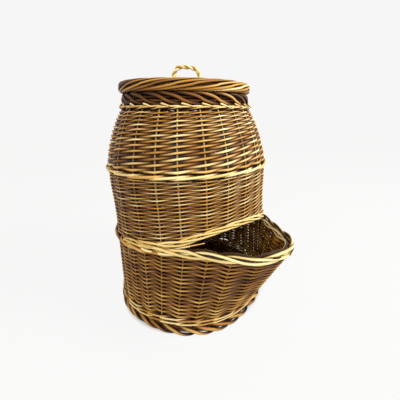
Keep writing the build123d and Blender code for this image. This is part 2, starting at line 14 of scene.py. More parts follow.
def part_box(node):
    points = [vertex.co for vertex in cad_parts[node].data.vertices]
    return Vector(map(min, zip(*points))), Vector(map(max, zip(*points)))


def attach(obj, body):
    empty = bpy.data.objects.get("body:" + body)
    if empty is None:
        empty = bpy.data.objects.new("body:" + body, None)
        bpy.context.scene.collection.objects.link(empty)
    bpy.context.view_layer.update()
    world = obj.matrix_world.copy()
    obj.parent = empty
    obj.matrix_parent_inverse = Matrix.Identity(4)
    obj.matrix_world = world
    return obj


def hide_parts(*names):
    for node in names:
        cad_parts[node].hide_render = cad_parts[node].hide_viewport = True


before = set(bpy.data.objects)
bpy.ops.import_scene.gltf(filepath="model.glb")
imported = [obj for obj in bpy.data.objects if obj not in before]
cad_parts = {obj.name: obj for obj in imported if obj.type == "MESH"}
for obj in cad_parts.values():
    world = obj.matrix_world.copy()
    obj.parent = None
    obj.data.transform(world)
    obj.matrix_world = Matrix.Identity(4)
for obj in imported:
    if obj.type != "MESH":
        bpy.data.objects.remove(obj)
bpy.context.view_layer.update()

MM = 0.001
RNG = np.random.default_rng(7363)


# Sizes that the part has too, and that the frame's boxes don't show

STAKE_D = 5.0
LOWER_STAKES = 32
LOWER_FIRST = 1.875
LOWER_RING = (LOWER_STAKES, LOWER_FIRST)
UPPER_STAKES = 24
UPPER_FIRST = 7.5
UPPER_RING = (UPPER_STAKES, UPPER_FIRST)
HOOD_STAKES = 8
STAKE_TAIL = 34.0
STAKE_BEND_R = 9.0
STAKE_TUCK = 30.0
HOOD_STAKE_SEAT = 4.0
SCOOP_TIP_R = 68.0
RIM_CLIMB = 6.2
WALL_HALF = 5.9
NECK_STAKE_R = 143.0
NECK_INNER_R = 128.0
DOME_SPRING = 345.0
HOOD_HALF_ANGLE = 43.0
HOOD_APEX = 227.0
HANDLE_TURN = -36.5
HANDLE_D = 10.8


# Where the hand-made basket swells and isn't round

FOOT_SWELL = 20.0
FOOT_ANGLE = -24.0
FOOT_SPREAD = 31.0
FOOT_TRIM = 1.0
WALL_SHARE = 0.7
SHOULDER_SWELL = 5.5
SHOULDER_DROP = 10.0
SHOULDER_REACH = 60.0
MOUTH_SWELL = 4.5
MOUTH_SPREAD = 25.0
MOUTH_REACH = 45.0


# Sizes from the frame

def low(node, axis):
    """A node's lowest coordinate along an axis, in mm."""
    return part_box(node)[0]["xyz".index(axis)] / MM


def high(node, axis):
    """A node's highest coordinate along an axis, in mm."""
    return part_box(node)[1]["xyz".index(axis)] / MM


DRUM_R = high("lower_weave", "x") - WALL_HALF
FOOT_TOP = high("foot_core", "z")
BASE_MID = (low("base_weave", "z") + high("base_weave", "z")) / 2
BASE_R = high("base_weave", "x")
UPSETT_TOP = high("upsett_wale", "z")
LOWER_TOP = low("waist_wale", "z")
WAIST_TOP = high("waist_wale", "z")
MIDDLE_TOP = high("middle_weave", "z")
SHOULDER_TOP = high("shoulder_wale", "z")
NECK_BOTTOM = low("neck_core", "z")
NECK_TOP = high("neck_core", "z")
LID_BOTTOM = low("lid_core", "z")
LID_TOP = high("lid_core", "z")
LID_WEAVE_BOTTOM = low("lid_weave", "z")
LID_WEAVE_TOP = high("lid_weave", "z")
LID_CORE_R = high("lid_weave", "x")
HANDLE_TOP = high("handle_loop", "z")

SCOOP_CENTRE = -low("lower_weave", "y") - WALL_HALF - SCOOP_TIP_R
DOME_DROP_IN = DRUM_R - NECK_STAKE_R
DOME_RISE = NECK_BOTTOM - DOME_SPRING
DOME_ARC_R = (DOME_RISE**2 + DOME_DROP_IN**2) / (2 * DOME_DROP_IN)
DOME_CENTRE_R = DRUM_R - DOME_ARC_R
NECK_HEIGHT = DOME_SPRING + DOME_ARC_R * asin((NECK_BOTTOM - DOME_SPRING) / DOME_ARC_R)
HULL_ANGLE = degrees(acos((DRUM_R - SCOOP_TIP_R) / SCOOP_CENTRE))
SCOOP_SIDE = sqrt(SCOOP_CENTRE**2 - (DRUM_R - SCOOP_TIP_R) ** 2)
SCOOP_TIP_ARC = SCOOP_TIP_R * radians(HULL_ANGLE)
TIP_BASE_ANGLE = HULL_ANGLE * SCOOP_TIP_ARC / (SCOOP_TIP_ARC + SCOOP_SIDE)
HINGE_Y = -DRUM_R * cos(radians(HULL_ANGLE))
RIM_SLOPE = tan(radians(RIM_CLIMB))
MOUTH_HALF_W = DRUM_R * sin(radians(HOOD_HALF_ANGLE))
MOUTH_CORNER_Z = WAIST_TOP + (DRUM_R * cos(radians(HOOD_HALF_ANGLE)) + HINGE_Y) * RIM_SLOPE
HOOD_RISE = HOOD_APEX - MOUTH_CORNER_Z
HOOD_ARCH_R = (MOUTH_HALF_W**2 + HOOD_RISE**2) / (2 * HOOD_RISE)
HOOD_CENTRE_Z = HOOD_APEX - HOOD_ARCH_R
LOWER_STEP = 360 / LOWER_STAKES
UPPER_STEP = 360 / UPPER_STAKES


# Vectors, angles and points

def unit(vectors):
    """Vectors at length 1."""
    return vectors / np.linalg.norm(vectors, axis=-1, keepdims=True)


def from_front(angle):
    """Angles brought to between -180 and 180 degrees."""
    return (np.asarray(angle, float) + 180) % 360 - 180


def on_circle(angle, radius):
    """Plan points at angles and radii, as an array of x and an array of y."""
    turn = np.radians(angle)
    return radius * np.sin(turn), -radius * np.cos(turn)


def joined(x, y, z):
    """Points from arrays or numbers of x, y and z."""
    return np.stack(np.broadcast_arrays(x, y, z), -1)


# Surfaces that the stakes lie in, as points for angles and heights along the wall

def drum_wall(angle, height):
    """The upper walls: a drum, and above it the dome. They swell at the shoulder and beside the mouth."""
    turn = np.clip(height - DOME_SPRING, 0, None) / DOME_ARC_R
    radius = np.where(turn > 0, DOME_CENTRE_R + DOME_ARC_R * np.cos(turn), DRUM_R)
    z = np.where(turn > 0, DOME_SPRING + DOME_ARC_R * np.sin(turn), height)
    from_shoulder = (z - MIDDLE_TOP + SHOULDER_DROP) / SHOULDER_REACH
    radius = radius + SHOULDER_SWELL * np.exp(-(from_shoulder**2))
    beside_mouth = (from_front(angle) - HOOD_HALF_ANGLE) / MOUTH_SPREAD
    above_mouth = (z - HOOD_APEX) / MOUTH_REACH
    radius = radius + MOUTH_SWELL * np.exp(-(beside_mouth**2) - above_mouth**2)
    return joined(*on_circle(angle, radius), z)


def scoop_outline(angle):
    """The scoop's outline in plan, where the ruling from each angle of the drum's circle ends."""
    turned = from_front(angle)
    turn = np.abs(turned)
    side = np.sign(turned)
    around = HULL_ANGLE * np.clip(turn / TIP_BASE_ANGLE, 0, 1)
    tip_x, tip_y = on_circle(around, SCOOP_TIP_R)
    body_x, body_y = on_circle(HULL_ANGLE, DRUM_R)
    share = np.clip((turn - TIP_BASE_ANGLE) / (HULL_ANGLE - TIP_BASE_ANGLE), 0, 1)
    x = tip_x + share * (body_x - tip_x)
    y = (tip_y - SCOOP_CENTRE) + share * (body_y - tip_y + SCOOP_CENTRE)
    back_x, back_y = on_circle(turn, DRUM_R)
    behind = turn >= HULL_ANGLE
    return side * np.where(behind, back_x, x), np.where(behind, back_y, y)


def rim_lift(angle):
    """How far the scoop's rim has climbed above the waist."""
    _, y = scoop_outline(angle)
    return np.clip(HINGE_Y - y, 0, None) * RIM_SLOPE


def foot_swell(angle):
    """How far the foot stands out in front of a round one, less a trim all round."""
    away = (from_front(angle) - FOOT_ANGLE) / FOOT_SPREAD
    return FOOT_SWELL * np.exp(-(away**2)) - FOOT_TRIM


def lower_wall(angle, height):
    """The lower wall: rulings from the foot to the scoop's outline at the rim.

    Heights are those of the back, and in front the wall is stretched up to its climbing rim.
    """
    share = np.clip((height - FOOT_TOP) / (LOWER_TOP - FOOT_TOP), 0, 1)
    low_x, low_y = on_circle(angle, DRUM_R + WALL_SHARE * foot_swell(angle))
    top_x, top_y = scoop_outline(angle)
    x = low_x + share * (top_x - low_x)
    y = low_y + share * (top_y - low_y)
    return joined(x, y, height + share * rim_lift(angle))


def lower_stretch(angle):
    """How much longer the lower wall is, from the foot to the rim, than at the back."""
    foot = lower_wall(angle, FOOT_TOP + 0 * angle)
    top = lower_wall(angle, LOWER_TOP + 0 * angle)
    return np.linalg.norm(top - foot, axis=-1) / (LOWER_TOP - FOOT_TOP)


def outward(wall, angle, height):
    """Unit normals of a wall, pointing out of the basket."""
    angle_step = 0.4
    height_step = 0.5
    across = wall(angle + angle_step, height) - wall(angle - angle_step, height)
    up = wall(angle, height + height_step) - wall(angle, height - height_step)
    return unit(np.cross(across, up))


def over_mouth(angle):
    """Whether the hood is at these angles."""
    return np.cos(np.radians(angle)) > cos(radians(HOOD_HALF_ANGLE))


def arch_height(angle):
    """The lower edge of the upper walls: the hood's arch over the mouth, and the waist's top elsewhere."""
    turn = np.radians(angle)
    arch = HOOD_CENTRE_Z + np.sqrt(np.clip(HOOD_ARCH_R**2 - (DRUM_R * np.sin(turn)) ** 2, 0, None))
    waist = WAIST_TOP + np.clip(DRUM_R * np.cos(turn) + HINGE_Y, 0, None) * RIM_SLOPE
    return np.where(over_mouth(angle), arch, waist)


# Rods: how they wander, swell and lie

STEPS_PER_STAKE = 8
FEWEST_POINTS = 3
UPPER_GAP = 47.0
THICKNESS_PERIOD = 160.0
THICKNESS_SEED = 99
TONE_PERIOD = 3.0
TONE_SEED = 7
TONE_WANDER = 0.07
UNEVEN = 0.06
NOISE_SCALE = 1.8
WAVE_PEAK = 0.93
FRONT_THICKNESS = 0.9
BACK_SPREAD = 0.87
SPREAD_POWER = 0.8
BACK_STAND = 0.3
PROUD_OFFSET = 6.0


def smooth_noise(x, period, seed):
    """A smooth random wander of about unit size along x, with that shortest period."""
    local = np.random.default_rng(seed)
    total = np.zeros_like(x, float)
    for k in (1, 2, 3):
        total += np.sin(2 * pi * x / (period * k) + local.uniform(0, 2 * pi)) / NOISE_SCALE
    return total


def smoothed(values, reach):
    """Values averaged with that many neighbours on each side."""
    window = 2 * reach + 1
    return np.convolve(np.pad(values, reach, mode="edge"), np.ones(window) / window, "valid")


def weave_wave(n):
    """A rod's way through the stakes: 1 in front of even numbers, -1 behind odd ones, and nearly straight."""
    return np.arcsin(WAVE_PEAK * np.cos(pi * n)) / asin(WAVE_PEAK)


def pressed(way):
    """A packed rod's thickness as a share of its own: a little thin in front, and spread behind a stake."""
    return FRONT_THICKNESS + BACK_SPREAD * np.clip(-way, 0, 1) ** SPREAD_POWER


def stand_off(radius, way, stake_share, front_share):
    """How far a woven rod's middle lies from the stakes' surface, in front of them or behind."""
    return STAKE_D * stake_share + radius * np.where(way > 0, front_share, BACK_STAND)


# Painted light and shade on a rod's sides, and where its grain starts

LEVEL = 0.58
PROUD_GAIN = 0.6
DEEP_LOSS = 1.2
DARKEST = 0.05
OUTER_COSINE = -0.1
EDGE_LIGHT = 0.05
FACE_LIGHT = 1.05
FACE_POWER = 1.9
BACK_LIGHT = 0.8
TOP_LIGHT = 0.3
UNDERSIDE_SHADE = 0.2
GRAIN_R = 0.5
GRAIN_STEPS = (0.618, 0.414, 0.732)
GRAIN_SPANS = (20, 30, 30)


class Rods:
    """Rods gathered into one mesh. Each point of a rod has its own radius, and each rod its own tone."""

    def __init__(self):
        self.points = []
        self.faces = []
        self.grain = []
        self.tone = []
        self.shade = []
        self.count = 0
        self.number = 0

    def add(self, path, out, radius, tone, depth=0.6, flat=1.0, sides=8, shade_lift=0.0):
        """One rod along a path.

        out points away from the wall, and flat squeezes the rod towards it. depth goes from -1, deep behind
        the wall, to 1, proud of it. It and each point's side of the rod set the painted shade there: darker
        behind the wall, at the rod's edges and underneath, and brighter where it stands proud, faces out and
        faces up. The last argument, from 0 to 1, takes that much of the painted shade away.
        """
        path = np.asarray(path, float)
        number = len(path)
        if number < FEWEST_POINTS:
            return
        radius = np.broadcast_to(radius, number).astype(float)
        tangent = unit(np.gradient(path, axis=0))
        side = unit(np.cross(tangent, out))
        away = np.cross(side, tangent)
        turn = np.arange(sides) * 2 * pi / sides
        cosine = np.cos(turn)
        sine = np.sin(turn)
        ring = away[:, None] * (cosine * flat)[None, :, None] + side[:, None] * sine[None, :, None]
        shell = path[:, None] + ring * radius[:, None, None]
        along = np.concatenate([[0], np.cumsum(np.linalg.norm(np.diff(path, axis=0), axis=1))])
        places = (along[:, None] * MM, cosine[None] * GRAIN_R, sine[None] * GRAIN_R)
        grain = np.empty((number, sides, 3))
        for axis, place in enumerate(places):
            grain[..., axis] = place + self.number * GRAIN_STEPS[axis] % 1 * GRAIN_SPANS[axis]
        # Painted shade and light: dark behind the wall, at the rod's edges and underneath; bright proud,
        # outwards and on top
        proud = np.broadcast_to(depth, number)[:, None] * np.where(cosine > OUTER_COSINE, 1, -1)
        base = np.clip(LEVEL + np.where(proud > 0, PROUD_GAIN, DEEP_LOSS) * proud, DARKEST, 1)
        facing = EDGE_LIGHT + FACE_LIGHT * np.clip(cosine, 0, 1) ** FACE_POWER
        facing = facing + BACK_LIGHT * np.clip(-cosine, 0, 1)
        facing = facing + TOP_LIGHT * np.clip(ring[..., 2], 0, 1)
        facing = facing - UNDERSIDE_SHADE * np.clip(-ring[..., 2], 0, 1)
        shade = shade_lift + (1 - shade_lift) * base * np.clip(facing, 0, 1)
        index = np.arange(number * sides).reshape(number, sides) + self.count
        after = np.roll(index, -1, axis=1)
        quads = np.stack([index[:-1], after[:-1], after[1:], index[1:]], -1).reshape(-1, 4)
        self.points.append(shell.reshape(-1, 3))
        self.faces.extend(quads.tolist())
        self.faces.append(index[0][::-1].tolist())
        self.faces.append(index[-1].tolist())
        self.grain.append(grain.reshape(-1, 3))
        self.tone.append(np.repeat(np.broadcast_to(tone, number), sides))
        self.shade.append(shade.ravel())
        self.count += number * sides
        self.number += 1

    def piece(self, name, slot, material, *replaced, body="basket"):
        """The rods as one object on a body, in place of the CAD nodes named."""
        mesh = bpy.data.meshes.new(name)
        mesh.from_pydata((np.concatenate(self.points) * MM).tolist(), [], self.faces)
        mesh.polygons.foreach_set("use_smooth", np.ones(len(mesh.polygons), bool))
        grain = mesh.attributes.new("grain", "FLOAT_VECTOR", "POINT")
        grain.data.foreach_set("vector", np.concatenate(self.grain).ravel().astype(np.float32))
        for label, values in (("tone", self.tone), ("shade", self.shade)):
            attribute = mesh.attributes.new(label, "FLOAT", "POINT")
            attribute.data.foreach_set("value", np.concatenate(values).astype(np.float32))
        mesh.update()
        obj = bpy.data.objects.new(name, mesh)
        bpy.context.scene.collection.objects.link(obj)
        mesh.materials.append(material)
        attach(obj, body)
        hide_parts(*replaced)


# Tones, from 0, dark brown, to 1, pale straw

EVEN_SPREAD = 0.12
TONE_LIMITS = (0.02, 0.98)
# Painted light: tones grow paler on the key lamp's side of the basket
PAINTED_LIGHT_STRENGTH = 0.17
PAINTED_LIGHT_ANGLE = 30.0


def new_tone(middle, spread=0.21):
    """A rod's own tone."""
    return float(np.clip(RNG.normal(middle, spread), *TONE_LIMITS))


def painted_lamp_side(angle):
    """Painted light: how much paler the willow is on the side towards the key lamp, and browner behind."""
    return PAINTED_LIGHT_STRENGTH * np.cos(np.radians(np.asarray(angle, float) - PAINTED_LIGHT_ANGLE))


STAKE_WANDER = 0.05
STAKE_JITTER = RNG.uniform(-STAKE_WANDER, STAKE_WANDER, size=64)


def stake_angle(t, ring):
    """The angle at number t in a ring of stakes, on a stake where t is whole and between two elsewhere."""
    count, first = ring
    step = 360 / count
    whole = np.floor(t)
    share = t - whole
    jitter_a = STAKE_JITTER[(whole % count).astype(int)]
    jitter_b = STAKE_JITTER[((whole + 1) % count).astype(int)]
    return first + step * (t + jitter_a * (1 - share) + jitter_b * share)


def runs(mask):
    """The stretches of consecutive true values, as slices."""
    edges = np.flatnonzero(np.diff(np.concatenate([[0], mask.astype(int), [0]])))
    return [slice(a, b) for a, b in zip(edges[::2], edges[1::2])]


def lay(rods, wall, angle, height, offset, radius, tone, keep=None, flat=1.0):
    """Lays a rod along angles and heights on a wall, at an offset from the stakes' surface."""
    normal = outward(wall, angle, height)
    path = wall(angle, height) + normal * offset[:, None]
    depth = offset / PROUD_OFFSET
    radius = np.broadcast_to(radius, len(path))
    tone = np.broadcast_to(tone, len(path))
    keep = np.ones(len(path), bool) if keep is None else keep
    for part in runs(keep):
        rods.add(path[part], normal[part], radius[part], tone[part], depth[part], flat)


def course_heights(bottom, top, butt, tip):
    """The heights of courses packed between two levels, from thick ones below to thin ones above."""
    heights = [bottom + butt / 2]
    while heights[-1] < top - tip / 2:
        share = (heights[-1] - bottom) / (top - bottom)
        heights.append(heights[-1] + butt + share * (tip - butt))
    heights = np.array(heights)
    room = top - bottom - (butt + tip) / 2
    return bottom + butt / 2 + (heights - heights[0]) * room / (heights[-1] - heights[0])


# Walls of French randing: how it ends, packs and stands off the stakes

FRENCH_END = 0.6
FRENCH_EDGE = 0.45
FRENCH_STAND = (0.34, 0.84)
FRENCH_CUT_SHARE = 0.8


def french_rand(rods, wall, bottom, top, butt, tip, ring, tone, wave, above=None):
    """French randing: each rod climbs on its own, in front of one stake and behind the next."""
    heights = course_heights(bottom, top, butt, tip)
    last = len(heights) - 1
    n = np.arange(-1, last + FRENCH_END, 1 / STEPS_PER_STAKE)
    share = np.clip(n / last, 0, 1)
    way = weave_wave(n)
    radius = (butt + share * (tip - butt)) / 2 * pressed(way)
    lowest = bottom + butt * FRENCH_EDGE
    highest = top - tip * FRENCH_EDGE
    for k in range(ring[0]):
        t = n + k
        angle = stake_angle(t, ring)
        height = np.interp(n, np.arange(last + 1), heights)
        height = np.clip(height + wave(angle, height), lowest, highest)
        amplitude = stand_off(radius, way, *FRENCH_STAND)
        offset = amplitude * way * (1 + UNEVEN * smooth_noise(t, period=5, seed=k))
        swell = radius * (1 + UNEVEN * smooth_noise(t * UPPER_GAP, THICKNESS_PERIOD, k + THICKNESS_SEED))
        keep = None if above is None else height > above(angle) + radius * FRENCH_CUT_SHARE
        # The rod's own tone, with painted light: paler on the key lamp's side
        tone_with_painted_light = new_tone(tone) + TONE_WANDER * smooth_noise(t, TONE_PERIOD, k + TONE_SEED) + painted_lamp_side(angle)
        lay(rods, wall, angle, height, offset, swell, tone_with_painted_light, keep, flat=0.84)


# Walls of plain randing in rows: how far a rod goes, tapers, dips at stakes and tucks its ends away, and the
# painted shade under the scoop

ROW_SPAN = (13, 26)
ROW_OVERLAP = 0.7
ROW_TAPER = 0.1
ROW_DIP = 0.8
ROW_EDGE = 0.9
ROW_STRETCH_POWER = 1.1
ROW_TUCK_POINTS = 6
ROW_TUCK_DEPTH = 0.8
ROW_STAND = (0.3, 0.78)
PAINTED_SCOOP_SHADE = 0.12
PAINTED_SHADE_POWER = 4


def rand_rows(rods, wall, bottom, top, butt, tip, ring, tone, wave):
    """Plain randing in rows, each of a few rods that start and end behind a stake."""
    for j, base_height in enumerate(course_heights(bottom, top, butt, tip)):
        share = (base_height - bottom) / (top - bottom)
        diameter = butt + share * (tip - butt)
        start = RNG.uniform(0, ring[0])
        end = start + ring[0]
        while start < end:
            length = min(RNG.uniform(*ROW_SPAN), end - start)
            t = np.arange(start - ROW_OVERLAP, start + length + ROW_OVERLAP, 1 / STEPS_PER_STAKE)
            angle = stake_angle(t, ring)
            along = (t - t[0]) / (t[-1] - t[0])
            way = weave_wave(t - j)
            radius = diameter / 2 * (1 + ROW_TAPER - ROW_TAPER * along) * pressed(way)
            height = base_height + wave(angle, base_height + 0 * t) - ROW_DIP * np.cos(2 * pi * t)
            height = np.clip(height, bottom + radius * ROW_EDGE, top - radius * ROW_EDGE)
            radius = radius * lower_stretch(angle) ** ROW_STRETCH_POWER
            tuck = np.clip(np.minimum(along, 1 - along) * len(t) / ROW_TUCK_POINTS, 0, 1)
            depth = stand_off(radius, way, *ROW_STAND)
            offset = depth * (way * tuck - (1 - tuck) * ROW_TUCK_DEPTH)
            # Painted shade: rods darker towards the front, under the scoop's overhang
            front = np.exp(PAINTED_SHADE_POWER * np.cos(np.radians(angle)) - PAINTED_SHADE_POWER)
            tone_with_painted_light = new_tone(tone) + TONE_WANDER * smooth_noise(t, TONE_PERIOD, j) - PAINTED_SCOOP_SHADE * front
            lay(rods, wall, angle, height, offset, radius, tone_with_painted_light, flat=0.82)
            start += length


# Wales

WALE_RODS = 3
WALE_MIDDLE = 1 / 3
WALE_SWING = 4 / 3
WALE_FULLEST = 1.08
WALE_STAND = 0.47
WALE_SEEDS = 10
TINY = 1e-6


def wale(rods, wall, bottom, diameter, rounds, ring, tone, span=None, falls=False, rise=1.0):
    """Three-rod wale: each rod passes in front of two stakes and behind one, and climbs over the others."""
    begin, end = span or (0, ring[0])
    t = np.arange(begin, end + TINY, 1 / STEPS_PER_STAKE)
    angle = stake_angle(t, ring)
    for turn in range(rounds):
        middle = bottom + diameter * (1 + 2 * turn)
        for rod in range(WALE_RODS):
            place = (t - rod - turn) % WALE_RODS
            # 1 at the two stakes in front and -1 at the one behind
            front = WALE_MIDDLE + WALE_SWING * np.cos(2 * pi * (place - 0.5) / WALE_RODS)
            front = np.minimum(front, WALE_FULLEST)
            climb = (place + 0.5) % WALE_RODS
            level = smoothed(np.where(climb <= 2, climb - 1, 1 - 2 * (climb - 2)), reach=3)
            level = -level if falls else level
            height = middle + level * diameter / 2 * rise
            offset = (STAKE_D / 2 + diameter * WALE_STAND) * front
            uneven = smooth_noise(t, period=7, seed=rod + WALE_SEEDS * turn)
            swell = diameter / 2 * (1 + UNEVEN * uneven)
            # Painted light: paler on the key lamp's side
            lay(rods, wall, angle, height, offset, swell, new_tone(tone) + painted_lamp_side(angle))


# Ropes of the rim and the hood

ROPE_TURN = 0.13
ROPE_WANDER = 0.15
ROPE_WANDER_PERIOD = 17
ROPE_DEPTH = 0.34
ROPE_UNEVEN = 0.08
ROPE_PERIOD = 9
ROPE_SEEDS = 5


def rope(rods, wall, angle, height, offset, strands, diameter, pitch, tone, rise=0.62, seed=0):
    """Strands that cross each other at a shallow angle along a wall. pitch is in degrees round the basket."""
    for k in range(strands):
        turn = 2 * pi * (angle / pitch + (k + ROPE_TURN * seed) / strands)
        wander = 1 + ROPE_WANDER * smooth_noise(angle, ROPE_WANDER_PERIOD, seed + k)
        level = height + diameter * rise * np.cos(turn) * wander
        away = offset + np.sign(offset) * diameter * ROPE_DEPTH * np.sin(turn)
        uneven = smooth_noise(angle, ROPE_PERIOD, seed * ROPE_SEEDS + k)
        swell = diameter / 2 * (1 + ROPE_UNEVEN * uneven)
        # Painted light: paler on the key lamp's side
        lay(rods, wall, angle, level, away, swell, new_tone(tone, EVEN_SPREAD) + painted_lamp_side(angle), flat=0.94)


# Rolled borders and the rods packed behind them

BORDER_JITTER = 0.12
BORDER_UNEVEN = 2.0
BORDER_BUTT = 1.1
BORDER_TAPER = 0.24
BORDER_SIZES = (0.92, 1.05)
DEPTH_SWING = 0.6
BORDER_DEPTH = 0.3


def blunted(wave):
    """A sine or cosine that stays longer at its ends, for a path round a section with rounded corners."""
    return np.sign(wave) * np.abs(wave) ** 0.75


def rolled_border(
    rods, centre_r, centre_z, bulge, half_h, count, diameter, span, start, end, tone, spread=0.0
):
    """A rolled border: rods that wrap round a core while they pass several others.

    start and end are the turns round the core's section at which a rod shows and ends: 0 is outwards and 90
    is up. spread is how unevenly the rods lie, as a share of their distance.
    """
    share = np.linspace(0, 1, 34)
    section = np.radians(start + share * (end - start))
    for k in range(count):
        jitter = RNG.uniform(-BORDER_JITTER, BORDER_JITTER)
        angle = (k + share * span + jitter + spread * RNG.uniform(-1, 1)) * 360 / count
        swell = foot_swell(angle) if centre_z < FOOT_TOP else 0
        uneven_bulge = bulge + spread * RNG.uniform(-BORDER_UNEVEN, BORDER_UNEVEN)
        radius = centre_r + swell + uneven_bulge * blunted(np.cos(section))
        z = centre_z + half_h * blunted(np.sin(section))
        path = joined(*on_circle(angle, radius), z)
        out = joined(*on_circle(angle, np.cos(section)), np.sin(section))
        taper = diameter / 2 * (BORDER_BUTT - BORDER_TAPER * share) * RNG.uniform(*BORDER_SIZES)
        # Painted shade and light: brightest on the border's outer face, and paler on the key lamp's side
        depth = np.cos(section) * DEPTH_SWING + BORDER_DEPTH
        rods.add(path, out, taper, new_tone(tone) + painted_lamp_side(angle), depth)


PACKED_SHARE = 0.98
PACKED_WANDER = 0.08
RING_TURN = 37
RING_SEEDS = 31
RING_PERIOD = 50
RISE_PERIOD = 70


def packed_rings(rods, inner_r, outer_r, bottom, top, diameter, tone):
    """Rods bent round the axis and packed into a band, as they lie behind a border."""
    rows = max(1, round((top - bottom) / (diameter * PACKED_SHARE)))
    columns = max(1, round((outer_r - inner_r) / (diameter * PACKED_SHARE)))
    wander = diameter * PACKED_WANDER
    for row in range(rows):
        for column in range(columns):
            seed = row * RING_SEEDS + column
            angle = np.linspace(0, 360, 97) + seed * RING_TURN
            swell = foot_swell(angle) if bottom < FOOT_TOP else 0
            radius = inner_r + (column + 0.5) * (outer_r - inner_r) / columns
            radius = radius + swell + wander * smooth_noise(angle, RING_PERIOD, seed)
            z = bottom + (row + 0.5) * (top - bottom) / rows
            z = z + wander * smooth_noise(angle, RISE_PERIOD, seed + 5)
            path = joined(*on_circle(angle, radius), z)
            out = joined(*on_circle(angle, 1.0), 0)
            rods.add(path, out, diameter / 2, new_tone(tone), sides=6)


# Discs of the base and the lid

DISC_STEP = 12
DISC_LEAN = 0.55
DISC_WANDER = 0.25
DISC_PERIOD = 80
DISC_DEPTH = 0.3


def disc_weave(rods, inner_r, outer_r, z, spokes, first, butt, tip, stick_r, tone):
    """A disc woven in rings round spokes, over one and under the next, with rods from butt to tip thick."""
    for j, radius in enumerate(course_heights(inner_r, outer_r, butt, tip)):
        share = (radius - inner_r) / (outer_r - inner_r)
        rod_r = (butt + share * (tip - butt)) / 2
        t = np.arange(0, spokes + TINY, 1 / max(6, round(radius / DISC_STEP)))
        t = t + RNG.uniform(0, spokes)
        angle = first + t * 360 / spokes
        over = np.cos(pi * (t - j))
        level = z + over * (stick_r + rod_r * DISC_LEAN)
        radius = radius + DISC_WANDER * smooth_noise(angle, DISC_PERIOD, j)
        path = joined(*on_circle(angle, radius), level)
        out = joined(0, 0, np.ones(len(t)))
        rods.add(path, out, rod_r, new_tone(tone), over * DISC_DEPTH, sides=6)


def curve_through(points, steps):
    """A smooth path through points, with that many equal steps on each span."""
    points = np.asarray(points, float)
    padded = np.vstack([2 * points[0] - points[1], points, 2 * points[-1] - points[-2]])
    path = []
    for a, b, c, d in zip(padded, padded[1:], padded[2:], padded[3:]):
        square = 2 * a - 5 * b + 4 * c - d
        cube = 3 * b - a - 3 * c + d
        for s in np.arange(steps) / steps:
            path.append(0.5 * (2 * b + (c - a) * s + square * s**2 + cube * s**3))
    path.append(points[-1])
    return np.array(path)


STICK_BEND_REACH = 1.5
STICK_BEND_SPREAD = 1.25
STICK_TONE = 0.5


def spread_sticks(rods, count, pitch, half, reach, z, turn, radius):
    """Parallel sticks through the middle that open out, each to its own place on the rim."""
    for k in range(count):
        place = k - (count - 1) / 2
        side = place * pitch
        end_turn = radians(place * 90 / count)
        end_x = reach * cos(end_turn)
        end_y = reach * sin(end_turn)
        bend_x = half * STICK_BEND_REACH
        bend_y = side * STICK_BEND_SPREAD
        flat_path = curve_through(
            [(-end_x, end_y), (-bend_x, bend_y), (-half, side), (0, side), (half, side), (bend_x, bend_y),
             (end_x, end_y)], 10
        )
        c = cos(radians(turn))
        s = sin(radians(turn))
        x = flat_path[:, 0] * c - flat_path[:, 1] * s
        y = flat_path[:, 0] * s + flat_path[:, 1] * c
        rods.add(joined(x, y, z), joined(0, 0, np.ones(len(x))), radius, new_tone(STICK_TONE))


def slath(body, sets, count, pitch, half, reach, z, turn):
    """Two sets of spread sticks that cross: the first is pierced, and the second goes through it.

    Each has its piece's name, its CAD node and its radius.
    """
    for number, (name, node, radius) in enumerate(sets):
        rods = Rods()
        spread_sticks(rods, count, pitch, half, reach, z, turn + 90 * number, radius)
        rods.piece(name, "willow_stake", stake_willow, node, body=body)


# Willow: its scars, gloss and relief, and the painted shade's colours from deep places to open ones

SCAR_STRENGTH = 0.6
PAINTED_SHADE_STOPS = ((0.1, (0.03, 0.014, 0.006)), (0.42, (0.3, 0.2, 0.12)), (0.82, (1, 1, 1)))
SATIN = 0.46
STREAK_GLOSS = 0.2
FIBRE_HEIGHT = 0.5
SCAR_HEIGHT = 0.6


def set_inputs(node, **values):
    """Sets a node's inputs, whose names have _ for each space here."""
    for label, value in values.items():
        node.inputs[label.replace("_", " ")].default_value = value


def math_node(tree, operation, a, b):
    """The result of a math node on two values, each a socket or a number."""
    node = tree.nodes.new("ShaderNodeMath")
    node.operation = operation
    for socket, value in zip(node.inputs, (a, b)):
        if isinstance(value, (int, float)):
            socket.default_value = value
        else:
            tree.links.new(value, socket)
    return node.outputs[0]


